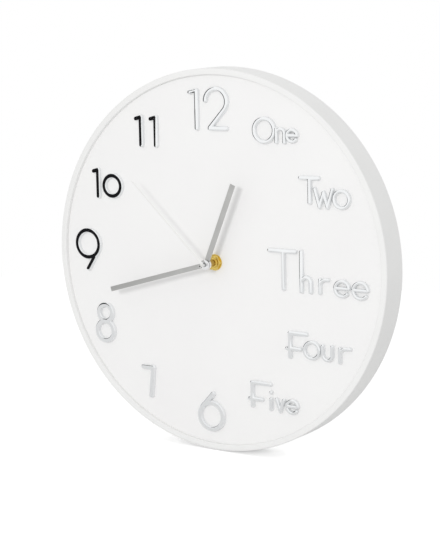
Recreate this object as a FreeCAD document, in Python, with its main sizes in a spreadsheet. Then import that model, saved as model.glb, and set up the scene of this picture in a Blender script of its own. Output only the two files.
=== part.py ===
"""Word clock: a 305 mm wall clock with raised numerals and a battery quartz movement.

Frame: +Z towards twelve o'clock, +X towards three o'clock, +Y towards the wall.
The origin is the centre of the dial's front face, on the axis that the hands turn about.
Sizes are in millimetres. Every piece is a document object bound to the sheet called Sizes.
"""
import FreeCAD, Part
import math
import os
import Sketcher

DRIVING_SIZES = {
    "case_front_radius": 152.5,
    "case_back_radius": 153.1,
    "case_wall": 2.6,
    "rim_width": 5.0,
    "rim_height": 3.3,
    "rim_chamfer": 0.8,
    "back_depth": 21.9,
    "dial_gap": 0.3,
    "dial_thickness": 2.0,
    "rib_height": 2.6,
    "rib_width": 1.6,
    "rib_inner_radius": 42.0,
    "rib_outer_radius": 144.0,
    "lug_height": 1.4,
    "lug_reach": 1.6,
    "lug_width": 14.0,
    "numeral_circle": 121.0,
    "numeral_height": 3.0,
    "stroke_width": 3.7,
    "gasket_thickness": 0.8,
    "gasket_radius": 11.0,
    "bracket_thickness": 0.8,
    "bracket_width": 26.0,
    "bracket_foot": 14.0,
    "bracket_step_height": 30.0,
    "bracket_top": 54.0,
    "bracket_tab_depth": 19.4,
    "nail_hole_radius": 3.0,
    "nail_hole_height": 44.0,
    "movement_width": 56.0,
    "movement_depth": 16.0,
    "movement_wall": 1.2,
    "movement_corner": 3.0,
    "bay_floor": 26.2,
    "bay_roof": 11.7,
    "room_floor": 9.9,
    "cell_radius": 7.1,
    "cell_length": 50.0,
    "cell_height": 19.0,
    "bushing_radius": 4.0,
    "bushing_reach": 4.5,
    "bushing_flange_radius": 6.0,
    "washer_radius": 6.5,
    "washer_thickness": 0.7,
    "nut_across_flats": 11.0,
    "nut_thickness": 2.6,
    "hour_pipe_radius": 2.5,
    "minute_arbor_radius": 1.6,
    "second_arbor_radius": 0.5,
    "running_gap": 0.06,
    "seat_gap": 0.02,
    "sink": 0.1,
    "pivot_radius": 0.35,
    "hand_thickness": 0.5,
    "boss_radius": 4.0,
    "boss_height": 1.5,
    "minute_boss_height": 0.8,
    "hour_hand_depth": 12.9,
    "minute_hand_depth": 14.9,
    "second_hand_depth": 17.3,
    "hour_hand_length": 69.0,
    "hour_hand_root": 4.6,
    "hour_hand_tip": 4.8,
    "hour_hand_angle": 22.1,
    "minute_hand_length": 96.0,
    "minute_hand_root": 3.8,
    "minute_hand_tip": 4.0,
    "minute_hand_angle": 253.9,
    "second_hand_length": 92.0,
    "second_hand_root": 1.8,
    "second_hand_tip": 1.0,
    "second_hand_angle": 313.5,
    "second_tube_radius": 1.0,
    "second_tube_front": 21.9,
    "second_tube_back": 16.2,
    "second_arbor_front": 20.9,
    "rotor_magnet_radius": 2.9,
    "stator_hole_radius": 3.3,
    "coil_height": 20.5,
    "coil_length": 14.8,
    "coil_build": 1.0,
    "knob_radius": 6.5,
    "knob_thickness": 1.8,
    "knob_gap": 0.2,
    "knob_groove": 0.6,
    "setting_shaft_radius": 1.1,
    "post_radius": 0.8,
    "loose_gap": 0.2,
    "flange_thickness": 0.5,
    "post_half": 2.2,
    "pillar_half": 1.8,
    "peg_half": 0.9,
    "peg_height": 1.0,
    "boss_half": 1.3,
    "cell_space": 1.5,
    "cell_button_radius": 2.7,
    "cell_button_height": 1.2,
    "contact_gauge": 0.4,
    "contact_width": 11.2,
    "contact_inner": 26.3,
    "contact_bump": 0.9,
    "bump_half": 2.2,
    "tab_length": 2.5,
    "contact_tail_top": 6.0,
    "core_thickness": 1.0,
    "core_width": 3.0,
    "core_overhang": 3.7,
    "bobbin_flange": 0.7,
    "bobbin_wall": 0.5,
    "board_edge": 25.4,
    "board_step": 14.6,
    "board_low": 9.5,
    "board_waist": 4.0,
    "board_top": 12.0,
    "crystal_radius": 0.75,
    "crystal_length": 6.0,
    "spring_radius": 3.4,
    "spring_waist": 2.2,
}

TRAIN_LEVELS = {
    "minute_pinion": (1.8, 3.2),
    "hour_wheel": (1.9, 2.9),
    "cannon_pinion": (3.1, 4.3),
    "minute_wheel": (3.2, 4.2),
    "friction_spring": (4.3, 4.8),
    "third_pinion": (4.7, 7.5),
    "centre_wheel": (4.9, 5.7),
    "middle_plate": (6.4, 7.2),
    "second_pinion": (7.3, 9.3),
    "third_wheel": (7.5, 8.3),
    "stator": (7.5, 8.9),
    "rotor_magnet": (7.6, 9.8),
    "intermediate_pinion": (9.0, 11.2),
    "second_wheel": (9.3, 10.1),
    "rotor_pinion": (10.9, 12.2),
    "intermediate_wheel": (11.2, 12.0),
    "circuit_board": (12.4, 13.2),
}
for piece_name, (nearer, farther) in TRAIN_LEVELS.items():
    DRIVING_SIZES[piece_name + "_front"] = nearer
    DRIVING_SIZES[piece_name + "_back"] = farther

TOOTH_TIP_HEIGHT = 0.85
WHEEL_ROOT_DEPTH = 2.0
LEAF_ROOT_DEPTH = 1.2
LEAF_ROOT_SHARE = 0.6
LEAF_TIP_SHARE = 0.2
LARGEST_PINION = 20

SNAP_LUGS = 6
DIAL_RIBS = 8
KNOB_GRIPS = 20
SPRING_ARMS = 3
ROUND_STROKE_SIDES = 36

PINION_LEAVES = 8
ROTOR_RATIO_TEETH = 40
SECOND_TEETH = 48
THIRD_TEETH = 60
CENTRE_TEETH = 64
CANNON_TEETH = 12
MINUTE_TEETH = 36
MINUTE_PINION_LEAVES = 10
HOUR_TEETH = 40

MODULE_ROTOR = 0.22
MODULE_SECOND = 0.25
MODULE_THIRD = 0.3
MODULE_CENTRE = MODULE_THIRD * (PINION_LEAVES + THIRD_TEETH) / (PINION_LEAVES + CENTRE_TEETH)
MODULE_MINUTE = 0.4
MODULE_HOUR = MODULE_MINUTE * (CANNON_TEETH + MINUTE_TEETH) / (MINUTE_PINION_LEAVES + HOUR_TEETH)

THIRD_DIRECTION = 170.0
MINUTE_WHEEL_DIRECTION = 80.0
SETTING_DIRECTION = 110.0
INTERMEDIATE_DIRECTION = -10.0
ROTOR_DIRECTION = 20.0

doc = FreeCAD.newDocument("WordClock")
sheet = doc.addObject("Spreadsheet::Sheet", "Sizes")


def fill_sheet():
    """Write every driving size to the sheet as text, under its own alias."""
    sheet.set("A1", "name")
    sheet.set("B1", "millimetres or degrees")
    for row, (alias, number) in enumerate(DRIVING_SIZES.items(), start=2):
        sheet.set("A%d" % row, alias)
        sheet.set("B%d" % row, str(number))
        sheet.setAlias("B%d" % row, alias)
    doc.recompute()


def bind(text):
    """Turn the sheet's plain aliases in an expression into full references."""
    words = []
    word = ""
    for letter in text + " ":
        if letter.isalnum() or letter in "_.":
            word += letter
            continue
        if word in DRIVING_SIZES:
            word = "Sizes." + word
        words.append(word + letter)
        word = ""
    return "".join(words).strip()


def number(text):
    """Value of an expression in the sheet's aliases."""
    result = sheet.evalExpression(bind(text))
    return float(getattr(result, "Value", result))


def new_body(label):
    """An empty body whose label is the name of its piece."""
    body = doc.addObject("PartDesign::Body", label)
    body.Label = label
    return body


def origin_plane(body, role):
    """One of a body's own three origin planes."""
    for feature in body.Origin.OriginFeatures:
        if feature.Role == role:
            return feature
    raise LookupError(role)


def plane_sketch(body, role, name):
    """A sketch on one of the body's origin planes."""
    sketch = body.newObject("Sketcher::SketchObject", name)
    sketch.AttachmentSupport = (origin_plane(body, role), [""])
    sketch.MapMode = "FlatFace"
    return sketch


def front_sketch(body, depth, name="Outline"):
    """A sketch as seen from the front, at Y = depth: right is +X and up is +Z."""
    sketch = plane_sketch(body, "XZ_Plane", name)
    sketch.setExpression("AttachmentOffset.Base.z", bind("-(%s)" % depth))
    return sketch


def fix_point(sketch, geometry, end, across, along):
    """Tie one end or centre of a sketch curve to two expressions."""
    for kind, text in (("DistanceX", across), ("DistanceY", along)):
        index = sketch.addConstraint(
            Sketcher.Constraint(kind, -1, 1, geometry, end, number(text)))
        sketch.setExpression("Constraints[%d]" % index, bind(text))


def add_circle(sketch, across, along, radius):
    """A circle tied by its centre and radius."""
    centre = FreeCAD.Vector(number(across), number(along), 0)
    circle = sketch.addGeometry(
        Part.Circle(centre, FreeCAD.Vector(0, 0, 1), number(radius)), False)
    fix_point(sketch, circle, 3, across, along)
    index = sketch.addConstraint(Sketcher.Constraint("Radius", circle, number(radius)))
    sketch.setExpression("Constraints[%d]" % index, bind(radius))


def add_polygon(sketch, corners):
    """A closed outline of straight sides whose corners are pairs of expressions."""
    points = [FreeCAD.Vector(number(across), number(along), 0) for across, along in corners]
    sides = []
    for index, start in enumerate(points):
        end = points[(index + 1) % len(points)]
        sides.append(sketch.addGeometry(Part.LineSegment(start, end), False))
    for index, side in enumerate(sides):
        following = sides[(index + 1) % len(sides)]
        sketch.addConstraint(Sketcher.Constraint("Coincident", side, 2, following, 1))
    for side, (across, along) in zip(sides, corners):
        fix_point(sketch, side, 1, across, along)


def add_rectangle(sketch, left, right, low, high):
    """An upright rectangle from four expressions."""
    add_polygon(sketch, [(left, low), (right, low), (right, high), (left, high)])


def add_bar(sketch, start, end, width):
    """A straight bar with round ends, tied by its two end centres and its width."""
    begin = FreeCAD.Vector(start[0], start[1], 0)
    finish = FreeCAD.Vector(end[0], end[1], 0)
    half = number(width) / 2
    slope = math.atan2(finish.y - begin.y, finish.x - begin.x)
    side = FreeCAD.Vector(-math.sin(slope), math.cos(slope), 0) * half
    up = FreeCAD.Vector(0, 0, 1)
    quarter = math.pi / 2
    first = sketch.addGeometry(Part.ArcOfCircle(
        Part.Circle(begin, up, half), slope + quarter, slope + 3 * quarter), False)
    second = sketch.addGeometry(Part.ArcOfCircle(
        Part.Circle(finish, up, half), slope - quarter, slope + quarter), False)
    lower = sketch.addGeometry(Part.LineSegment(begin - side, finish - side), False)
    upper = sketch.addGeometry(Part.LineSegment(finish + side, begin + side), False)
    sketch.addConstraint([
        Sketcher.Constraint("Tangent", first, 2, lower, 1),
        Sketcher.Constraint("Tangent", lower, 2, second, 1),
        Sketcher.Constraint("Tangent", second, 2, upper, 1),
        Sketcher.Constraint("Tangent", upper, 2, first, 1),
    ])
    fix_point(sketch, first, 3, str(start[0]), str(start[1]))
    fix_point(sketch, second, 3, str(end[0]), str(end[1]))
    index = sketch.addConstraint(Sketcher.Constraint("Radius", first, half))
    sketch.setExpression("Constraints[%d]" % index, bind(width) + " / 2")


def add_bow(sketch, centre, radius, start_angle, end_angle, width):
    """A bar of one width bent along an arc, with round ends."""
    middle = FreeCAD.Vector(centre[0], centre[1], 0)
    up = FreeCAD.Vector(0, 0, 1)
    half = number(width) / 2
    start, end = math.radians(start_angle), math.radians(end_angle)
    begin = middle + FreeCAD.Vector(math.cos(start), math.sin(start), 0) * radius
    finish = middle + FreeCAD.Vector(math.cos(end), math.sin(end), 0) * radius
    outer = sketch.addGeometry(Part.ArcOfCircle(
        Part.Circle(middle, up, radius + half), start, end), False)
    inner = sketch.addGeometry(Part.ArcOfCircle(
        Part.Circle(middle, up, radius - half), start, end), False)
    low_cap = sketch.addGeometry(Part.ArcOfCircle(
        Part.Circle(begin, up, half), start - math.pi, start), False)
    high_cap = sketch.addGeometry(Part.ArcOfCircle(
        Part.Circle(finish, up, half), end, end + math.pi), False)
    sketch.addConstraint([
        Sketcher.Constraint("Coincident", outer, 1, low_cap, 2),
        Sketcher.Constraint("Coincident", outer, 2, high_cap, 1),
        Sketcher.Constraint("Coincident", inner, 2, high_cap, 2),
        Sketcher.Constraint("Coincident", inner, 1, low_cap, 1),
    ])
    fix_point(sketch, outer, 3, str(centre[0]), str(centre[1]))


def add_loop(sketch, points):
    """A closed outline of straight sides through (radius, angle) points about the origin."""
    corners = [FreeCAD.Vector(radius * math.cos(angle), radius * math.sin(angle), 0)
               for radius, angle in points]
    sides = [Part.LineSegment(start, end)
             for start, end in zip(corners, corners[1:] + corners[:1])]
    sketch.addGeometry(sides, False)


def add_star(sketch, count, outer, inner, phase=0.0):
    """An outline that runs in and out between two radii, with its first point at the phase."""
    half_step = math.pi / count
    start = math.radians(phase)
    add_loop(sketch, [(outer if index % 2 == 0 else inner, start + index * half_step)
                      for index in range(2 * count)])


def add_teeth(sketch, teeth, module, phase, bore="0"):
    """Pointed teeth for a wheel or blunt leaves for a pinion, with an optional round bore."""
    pitch_radius = teeth * module / 2
    tip_radius = pitch_radius + TOOTH_TIP_HEIGHT * module
    if teeth > LARGEST_PINION:
        add_star(sketch, teeth, tip_radius, pitch_radius - WHEEL_ROOT_DEPTH * module, phase)
    else:
        root_radius = pitch_radius - LEAF_ROOT_DEPTH * module
        pitch_angle = 2 * math.pi / teeth
        root_half = LEAF_ROOT_SHARE / 2 * pitch_angle
        tip_half = LEAF_TIP_SHARE / 2 * pitch_angle
        points = []
        for leaf in range(teeth):
            middle = math.radians(phase) + leaf * pitch_angle
            points += [(root_radius, middle - root_half), (tip_radius, middle - tip_half),
                       (tip_radius, middle + tip_half), (root_radius, middle + root_half)]
        add_loop(sketch, points)
    if number(bore) > 0:
        add_circle(sketch, "0", "0", bore)


def add_hexagon(sketch, flat):
    """A hexagon about the origin from the distance out to its flats."""
    corners = []
    for corner in range(6):
        angle = 60 * corner + 30
        corners.append(("%s / cos(30) * cos(%d)" % (flat, angle),
                        "%s / cos(30) * sin(%d)" % (flat, angle)))
    add_polygon(sketch, corners)


def pad(body, sketch, length, both_ways=False):
    """Grow a sketch by a length, towards the front or evenly both ways."""
    feature = body.newObject("PartDesign::Pad", "Pad")
    feature.Profile = sketch
    feature.setExpression("Length", bind(length))
    feature.Midplane = both_ways
    sketch.Visibility = False
    return feature


def round_edges(body, radius, chosen):
    """Round the edges whose bounding boxes a test picks out."""
    doc.recompute()
    last = body.Tip
    names = ["Edge%d" % index for index, edge in enumerate(last.Shape.Edges, start=1)
             if chosen(edge.BoundBox)]
    rounding = body.newObject("PartDesign::Fillet", "Rounding")
    rounding.Base = (last, names)
    rounding.setExpression("Radius", bind(radius))
    return rounding


def pocket(body, sketch, length):
    """Cut a sketch into the body by a length, towards the front."""
    feature = body.newObject("PartDesign::Pocket", "Pocket")
    feature.Profile = sketch
    feature.setExpression("Length", bind(length))
    feature.Reversed = True
    sketch.Visibility = False
    return feature


def turn(body, corners, name="Section"):
    """Turn a profile of (radius, depth) expressions about the Y axis of the body."""
    sketch = plane_sketch(body, "XY_Plane", name)
    add_polygon(sketch, corners)
    feature = body.newObject("PartDesign::Revolution", "Turned")
    feature.Profile = sketch
    feature.ReferenceAxis = (sketch, ["V_Axis"])
    feature.Angle = 360
    sketch.Visibility = False
    return feature


def tube(body, inner, outer, front, back):
    """A plain turned ring, or a rod where the inner radius is 0."""
    return turn(body, [(inner, front), (outer, front), (outer, back), (inner, back)])


def pattern_round(body, features, count):
    """Repeat features evenly round the Y axis of the body."""
    pattern = body.newObject("PartDesign::PolarPattern", "RoundAbout")
    pattern.Originals = features
    pattern.Axis = (features[0].Profile[0], ["N_Axis"])
    pattern.Angle = 360
    pattern.Occurrences = count
    body.Tip = pattern
    return pattern


def place(body, centre):
    """Move a body's own axis to a point (x, z) of the front view."""
    body.Placement = FreeCAD.Placement(
        FreeCAD.Vector(centre[0], 0, centre[1]), FreeCAD.Rotation())


def step(start, direction, distance):
    """Point of the front view at a distance and a direction in degrees from another."""
    angle = math.radians(direction)
    return (start[0] + distance * math.cos(angle), start[1] + distance * math.sin(angle))


def gap_phase(teeth, direction):
    """Phase that puts the middle of a gap, not of a tooth, in a direction."""
    return direction + 180.0 / teeth


HAND_AXIS = (0.0, 0.0)
THIRD_CENTRE = step(HAND_AXIS, THIRD_DIRECTION,
                    MODULE_THIRD * (PINION_LEAVES + THIRD_TEETH) / 2)
MINUTE_WHEEL_CENTRE = step(HAND_AXIS, MINUTE_WHEEL_DIRECTION,
                           MODULE_MINUTE * (CANNON_TEETH + MINUTE_TEETH) / 2)
SETTING_CENTRE = step(MINUTE_WHEEL_CENTRE, SETTING_DIRECTION,
                      MODULE_MINUTE * (CANNON_TEETH + MINUTE_TEETH) / 2)
INTERMEDIATE_CENTRE = step(HAND_AXIS, INTERMEDIATE_DIRECTION,
                           MODULE_SECOND * (PINION_LEAVES + SECOND_TEETH) / 2)
ROTOR_CENTRE = step(INTERMEDIATE_CENTRE, ROTOR_DIRECTION,
                    MODULE_ROTOR * (PINION_LEAVES + ROTOR_RATIO_TEETH) / 2)

MOVEMENT_FRONT = "(dial_thickness + gasket_thickness + bracket_thickness)"
ROOM_FRONT = "(%s + movement_wall)" % MOVEMENT_FRONT
MOVEMENT_BACK = "(%s + movement_depth)" % MOVEMENT_FRONT
COVER_FRONT = "(%s - movement_wall)" % MOVEMENT_BACK
CELL_DEPTH = "(%s + cell_space + cell_radius)" % MOVEMENT_FRONT
KNOB_BACK = "(%s + knob_gap + knob_thickness)" % MOVEMENT_BACK
COIL_OFFSET = 1.4
COIL_MIDDLE = "(%s)" % round(ROTOR_CENTRE[0] + COIL_OFFSET, 3)
PILLAR_SPOTS = ((-24.3, 14.0), (24.3, 12.6), (-24.3, -7.0), (24.3, -7.0))
POST_SPOTS = ((-24.6, 24.6), (24.6, 24.6))
BOARD_PEG_SPOTS = ((20.0, 9.0), (-20.0, -7.0))
CHIP_SPOT = (20.6, -6.6)
CRYSTAL_SPOT = (17.4, 2.5)


def layer(offset):
    """Depth of a level inside the movement, counted from the front face of its housing."""
    return "(%s + %s)" % (MOVEMENT_FRONT, offset)


CONTACT_PLATE_FRONT = "4.0"
CONTACT_PLATE_BACK = "14.2"
CONTACT_TAIL_FRONT = "11.0"
ARM_TOP = "coil_height + core_width / 2 + sink"
STATOR_OUTLINE = ((-5.2, 2.6), (-2.4, -4.9), (5.6, -4.9), (12.6, 3.0), (12.6, None),
                  (9.0, None), (9.0, 5.4), (-6.2, 5.4), (-6.2, None), (-9.8, None),
                  (-9.8, 6.5))
PIVOT_END = "14.0"
PLATE_TOP = "16.2"
POST_BACK = "4.6"
BOSS_BACK = "2.8"
PIVOT_HOLE_FRONT = "0.6"
COVER_SEATS = {
    "Second": (HAND_AXIS, "12.6"),
    "Third": (THIRD_CENTRE, "9.2"),
    "Intermediate": (INTERMEDIATE_CENTRE, "12.4"),
    "Rotor": (ROTOR_CENTRE, "12.6"),
}


def front_of(name):
    """Depth of the front face of one piece of the train."""
    return layer(name + "_front")


def back_of(name):
    """Depth of the back face of one piece of the train."""
    return layer(name + "_back")


def make_case_shell():
    """Moulded ring: flat front rim, nearly straight wall and open back, with snap lugs."""
    body = new_body("case_shell")
    inner = "case_front_radius - rim_width"
    seat = "case_front_radius - case_wall"
    turn(body, [
        (inner, "-rim_height"),
        ("case_front_radius - rim_chamfer", "-rim_height"),
        ("case_front_radius", "-rim_height + rim_chamfer"),
        ("case_back_radius", "back_depth"),
        (seat, "back_depth"),
        (seat, "0"),
        (inner, "0"),
    ])
    lug = front_sketch(body, "dial_thickness + dial_gap + lug_height", "Lug")
    add_rectangle(lug, "case_front_radius - case_wall - lug_reach",
                  "case_front_radius - case_wall / 2", "-lug_width / 2", "lug_width / 2")
    lug_pad = pad(body, lug, "lug_height")
    pattern_round(body, [lug_pad], SNAP_LUGS)
    return body


def make_dial_plate():
    """Flat dial with a centre hole and radial stiffening ribs on its hidden side."""
    body = new_body("dial_plate")
    hole = "bushing_radius + loose_gap"
    edge = "case_front_radius - case_wall - dial_gap"
    tube(body, hole, edge, "0", "dial_thickness")
    rib = front_sketch(body, "dial_thickness + rib_height", "Rib")
    add_rectangle(rib, "rib_inner_radius", "rib_outer_radius", "-rib_width / 2", "rib_width / 2")
    rib_pad = pad(body, rib, "rib_height")
    pattern_round(body, [rib_pad], DIAL_RIBS)
    return body


def hour_spot(hour):
    """Centre of an hour's place on the numeral circle, in the front view."""
    return step(HAND_AXIS, 90.0 - 30.0 * hour, number("numeral_circle"))


def stroke_pad(body, draw, *shape):
    """Pad one stroke of a numeral up from the dial."""
    sketch = front_sketch(body, "0", "Stroke")
    draw(sketch, *shape, "stroke_width")
    pad(body, sketch, "numeral_height")


def bar(body, start, end):
    """Straight stroke between two points counted from the middle of the numeral."""
    stroke_pad(body, add_bar, start, end)


def bow(body, centre, radius, start_angle, end_angle):
    """Curved stroke along an arc, anticlockwise from the first angle to the second."""
    stroke_pad(body, add_bow, centre, radius, start_angle, end_angle)


def ring_stroke(body, centre, radius):
    """Closed round stroke about a point, drawn as many short straight sides."""
    sketch = front_sketch(body, "0", "Ring")
    half = number("stroke_width") / 2
    for size in (radius + half, radius - half):
        corners = []
        for side in range(ROUND_STROKE_SIDES):
            point = step(centre, 360.0 / ROUND_STROKE_SIDES * side, size)
            corners.append(FreeCAD.Vector(point[0], point[1], 0))
        sides = [Part.LineSegment(start, end)
                 for start, end in zip(corners, corners[1:] + corners[:1])]
        sketch.addGeometry(sides, False)
    pad(body, sketch, "numeral_height")


def digit_one(body, stem, top, bottom, flag):
    """A one: an upright stem with a short flag that falls to the left."""
    bar(body, (stem, top), (stem, bottom))
    bar(body, (stem, top), (stem - flag, top - 1.2))


def numeral(label, hour):
    """Empty body of one digit, moved to its hour's place on the dial."""
    body = new_body(label)
    place(body, hour_spot(hour))
    return body


def make_twelve():
    """Twelve, the tallest: a one, and a two with a round bow, a neck and a flat foot."""
    one = numeral("numeral_12_one", 12)
    digit_one(one, -13.8, 14.0, -15.4, 6.2)
    two = numeral("numeral_12_two", 12)
    bow(two, (4.1, 5.9), 9.8, -43.0, 176.0)
    bar(two, (11.27, -0.78), (-1.6, -15.1))
    bar(two, (-1.6, -15.1), (13.4, -15.1))
    return [one, two]


def make_eleven():
    """Eleven: two ones alike."""
    pieces = []
    for label, stem in (("numeral_11_left", -7.0), ("numeral_11_right", 7.4)):
        body = numeral(label, 11)
        digit_one(body, stem, 8.6, -13.6, 4.6)
        pieces.append(body)
    return pieces


def make_ten():
    """Ten: a one, and a round nought."""
    one = numeral("numeral_10_one", 10)
    digit_one(one, -7.4, 8.9, -12.9, 4.2)
    nought = numeral("numeral_10_nought", 10)
    ring_stroke(nought, (7.3, -3.8), 8.4)
    return [one, nought]


def make_nine():
    """Nine: a large ring over a short slanting tail."""
    body = numeral("numeral_9", 9)
    ring_stroke(body, (-3.4, 7.2), 11.3)
    bar(body, (2.9, -3.4), (-4.0, -13.8))
    return [body]


def make_eight():
    """Eight: a smaller ring standing on a larger one."""
    body = numeral("numeral_8", 8)
    ring_stroke(body, (-3.9, 10.4), 6.8)
    ring_stroke(body, (-4.3, -4.9), 8.3)
    return [body]


def make_seven():
    """Seven: a flat bar, and a stem that leans a little to the left."""
    body = numeral("numeral_7", 7)
    bar(body, (-10.6, 12.9), (-0.6, 12.9))
    bar(body, (-0.6, 12.9), (-3.2, -10.9))
    return [body]


def make_six():
    """Six: a large ring under a short slanting tail."""
    body = numeral("numeral_6", 6)
    ring_stroke(body, (-4.7, -4.3), 10.9)
    bar(body, (-2.9, 14.0), (-12.9, 2.9))
    return [body]


def make_washer():
    """Thin flat washer between the nut and the dial."""
    body = new_body("brass_washer")
    tube(body, "bushing_radius + loose_gap / 2", "washer_radius", "-washer_thickness", "0")
    return body


def make_nut():
    """Thin hexagon nut that clamps the movement to the dial."""
    body = new_body("hex_nut")
    sketch = front_sketch(body, "-washer_thickness", "Hexagon")
    add_hexagon(sketch, "nut_across_flats / 2")
    add_circle(sketch, "0", "0", "bushing_radius + seat_gap")
    pad(body, sketch, "nut_thickness")
    return body


def make_gasket():
    """Soft ring between the dial and the hanging bracket."""
    body = new_body("rubber_gasket")
    tube(body, "bushing_radius + loose_gap", "gasket_radius", "dial_thickness",
         "dial_thickness + gasket_thickness")
    return body


def make_bracket():
    """Bent steel strip: a foot held by the bushing, a shelf over the movement, a nail tab."""
    body = new_body("hanging_bracket")
    side = plane_sketch(body, "YZ_Plane", "Strip")
    near = "dial_thickness + gasket_thickness"
    tab = "bracket_tab_depth"
    gauge = "bracket_thickness"
    shelf = "bracket_step_height"
    add_polygon(side, [
        (near, "-bracket_foot"),
        ("%s + %s" % (near, gauge), "-bracket_foot"),
        ("%s + %s" % (near, gauge), shelf),
        ("%s + %s" % (tab, gauge), shelf),
        ("%s + %s" % (tab, gauge), "bracket_top"),
        (tab, "bracket_top"),
        (tab, "%s + %s" % (shelf, gauge)),
        (near, "%s + %s" % (shelf, gauge)),
    ])
    pad(body, side, "bracket_width", both_ways=True)
    hole = front_sketch(body, "%s + %s" % (near, gauge), "BushingHole")
    add_circle(hole, "0", "0", "bushing_radius + loose_gap")
    pocket(body, hole, gauge)
    nail = front_sketch(body, "%s + %s" % (tab, gauge), "NailHole")
    add_circle(nail, "0", "nail_hole_height", "nail_hole_radius")
    pocket(body, nail, gauge)
    return body


def make_bushing():
    """Brass bushing: a six-sided flange inside the housing and a round nose through the dial."""
    body = new_body("threaded_bushing")
    bore = "hour_pipe_radius + running_gap"
    tube(body, bore, "bushing_radius", "-bushing_reach", ROOM_FRONT + " + flange_thickness")
    flange = front_sketch(body, ROOM_FRONT + " + flange_thickness", "Flange")
    add_hexagon(flange, "bushing_flange_radius")
    add_circle(flange, "0", "0", bore)
    pad(body, flange, "flange_thickness")
    return body


def add_spots(sketch, spots, radius):
    """One circle of the same radius at each of several points of the front view."""
    for across, up in spots:
        add_circle(sketch, str(across), str(up), radius)


def add_squares(sketch, spots, half):
    """One upright square at each of several points, from the half of its side."""
    for across, up in spots:
        add_rectangle(sketch, "%s - (%s)" % (across, half), "%s + %s" % (across, half),
                      "%s - (%s)" % (up, half), "%s + %s" % (up, half))


def housing_shell(body):
    """Box of the housing with its two rooms, and the notches for the battery contacts."""
    half = "movement_width / 2"
    depth = "(movement_depth - movement_wall)"
    outline = front_sketch(body, COVER_FRONT, "Outline")
    add_rectangle(outline, "-" + half, half, "-" + half, half)
    pad(body, outline, depth)
    round_edges(body, "movement_corner",
                lambda box: box.YLength > 1.0 and box.XLength + box.ZLength < 0.1)
    inside = "(%s - movement_wall)" % half
    rooms = (("Room", "-room_floor", inside), ("CellBay", "-bay_floor", "-bay_roof"))
    for name, low, high in rooms:
        room = front_sketch(body, COVER_FRONT, name)
        add_rectangle(room, "-" + inside, inside, low, high)
        pocket(body, room, "%s - movement_wall" % depth)
    notches = front_sketch(body, COVER_FRONT, "ContactNotches")
    low, high = "-bay_roof - loose_gap", "-room_floor + loose_gap"
    add_rectangle(notches, "-" + inside, "-%s + movement_wall" % inside, low, high)
    add_rectangle(notches, "%s - movement_wall" % inside, inside, low, high)
    pocket(body, notches, "%s - %s" % (COVER_FRONT, layer(CONTACT_TAIL_FRONT)))


def housing_posts(body):
    """Corner posts, plate pillars with their pegs, and the bosses that hold the front pivots."""
    posts = front_sketch(body, COVER_FRONT, "CornerPosts")
    add_squares(posts, POST_SPOTS, "post_half")
    pad(body, posts, "%s - %s" % (COVER_FRONT, ROOM_FRONT))
    pillars = front_sketch(body, front_of("middle_plate"), "Pillars")
    add_squares(pillars, PILLAR_SPOTS, "pillar_half")
    pad(body, pillars, "middle_plate_front - movement_wall + sink")
    pegs = front_sketch(body, layer("middle_plate_front + peg_height"), "Pegs")
    add_squares(pegs, PILLAR_SPOTS, "peg_half")
    pad(body, pegs, "peg_height + sink")
    post = front_sketch(body, layer(POST_BACK), "WheelPost")
    add_spots(post, [MINUTE_WHEEL_CENTRE], "post_radius")
    pad(body, post, "%s - movement_wall + sink" % POST_BACK)
    bosses = front_sketch(body, layer(BOSS_BACK), "PivotBosses")
    add_squares(bosses, [THIRD_CENTRE], "boss_half")
    add_squares(bosses, [SETTING_CENTRE], "pillar_half")
    pad(body, bosses, "%s - movement_wall + sink" % BOSS_BACK)


def make_housing():
    """Front half of the movement: a room for the wheels and an open bay for the cell."""
    body = new_body("movement_housing")
    housing_shell(body)
    housing_posts(body)
    holes = front_sketch(body, layer(BOSS_BACK), "PivotHoles")
    add_spots(holes, [THIRD_CENTRE], "pivot_radius + running_gap")
    add_spots(holes, [SETTING_CENTRE], "setting_shaft_radius + running_gap")
    pocket(body, holes, "%s - %s" % (BOSS_BACK, PIVOT_HOLE_FRONT))
    nose = front_sketch(body, ROOM_FRONT, "BushingHole")
    add_circle(nose, "0", "0", "bushing_radius + seat_gap")
    pocket(body, nose, "movement_wall")
    return body


def make_cover():
    """Back cover over the wheels, with a pivot boss for each arbor and a hole for the knob."""
    body = new_body("movement_cover")
    half = "movement_width / 2"
    outline = front_sketch(body, MOVEMENT_BACK, "Outline")
    add_rectangle(outline, "-" + half, half, "-room_floor - movement_wall / 2", half)
    pad(body, outline, "movement_wall")
    round_edges(body, "movement_corner",
                lambda box: box.YLength > 0.9 and box.ZMin > 0 and box.XLength + box.ZLength < 0.1)
    for name, (centre, front) in COVER_SEATS.items():
        boss_height = "%s - %s" % (COVER_FRONT, layer(front))
        boss = front_sketch(body, COVER_FRONT, name + "Boss")
        add_squares(boss, [centre], "boss_half")
        pad(body, boss, boss_height)
        hole = front_sketch(body, COVER_FRONT, name + "Hole")
        add_spots(hole, [centre], "pivot_radius + running_gap")
        pocket(body, hole, boss_height)
    pegs = front_sketch(body, COVER_FRONT, "BoardPegs")
    add_squares(pegs, BOARD_PEG_SPOTS, "peg_half")
    pad(body, pegs, "%s - %s" % (COVER_FRONT, back_of("circuit_board")))
    opening = front_sketch(body, MOVEMENT_BACK, "KnobOpening")
    add_spots(opening, [SETTING_CENTRE], "setting_shaft_radius + running_gap")
    pocket(body, opening, "movement_wall")
    return body


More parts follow.
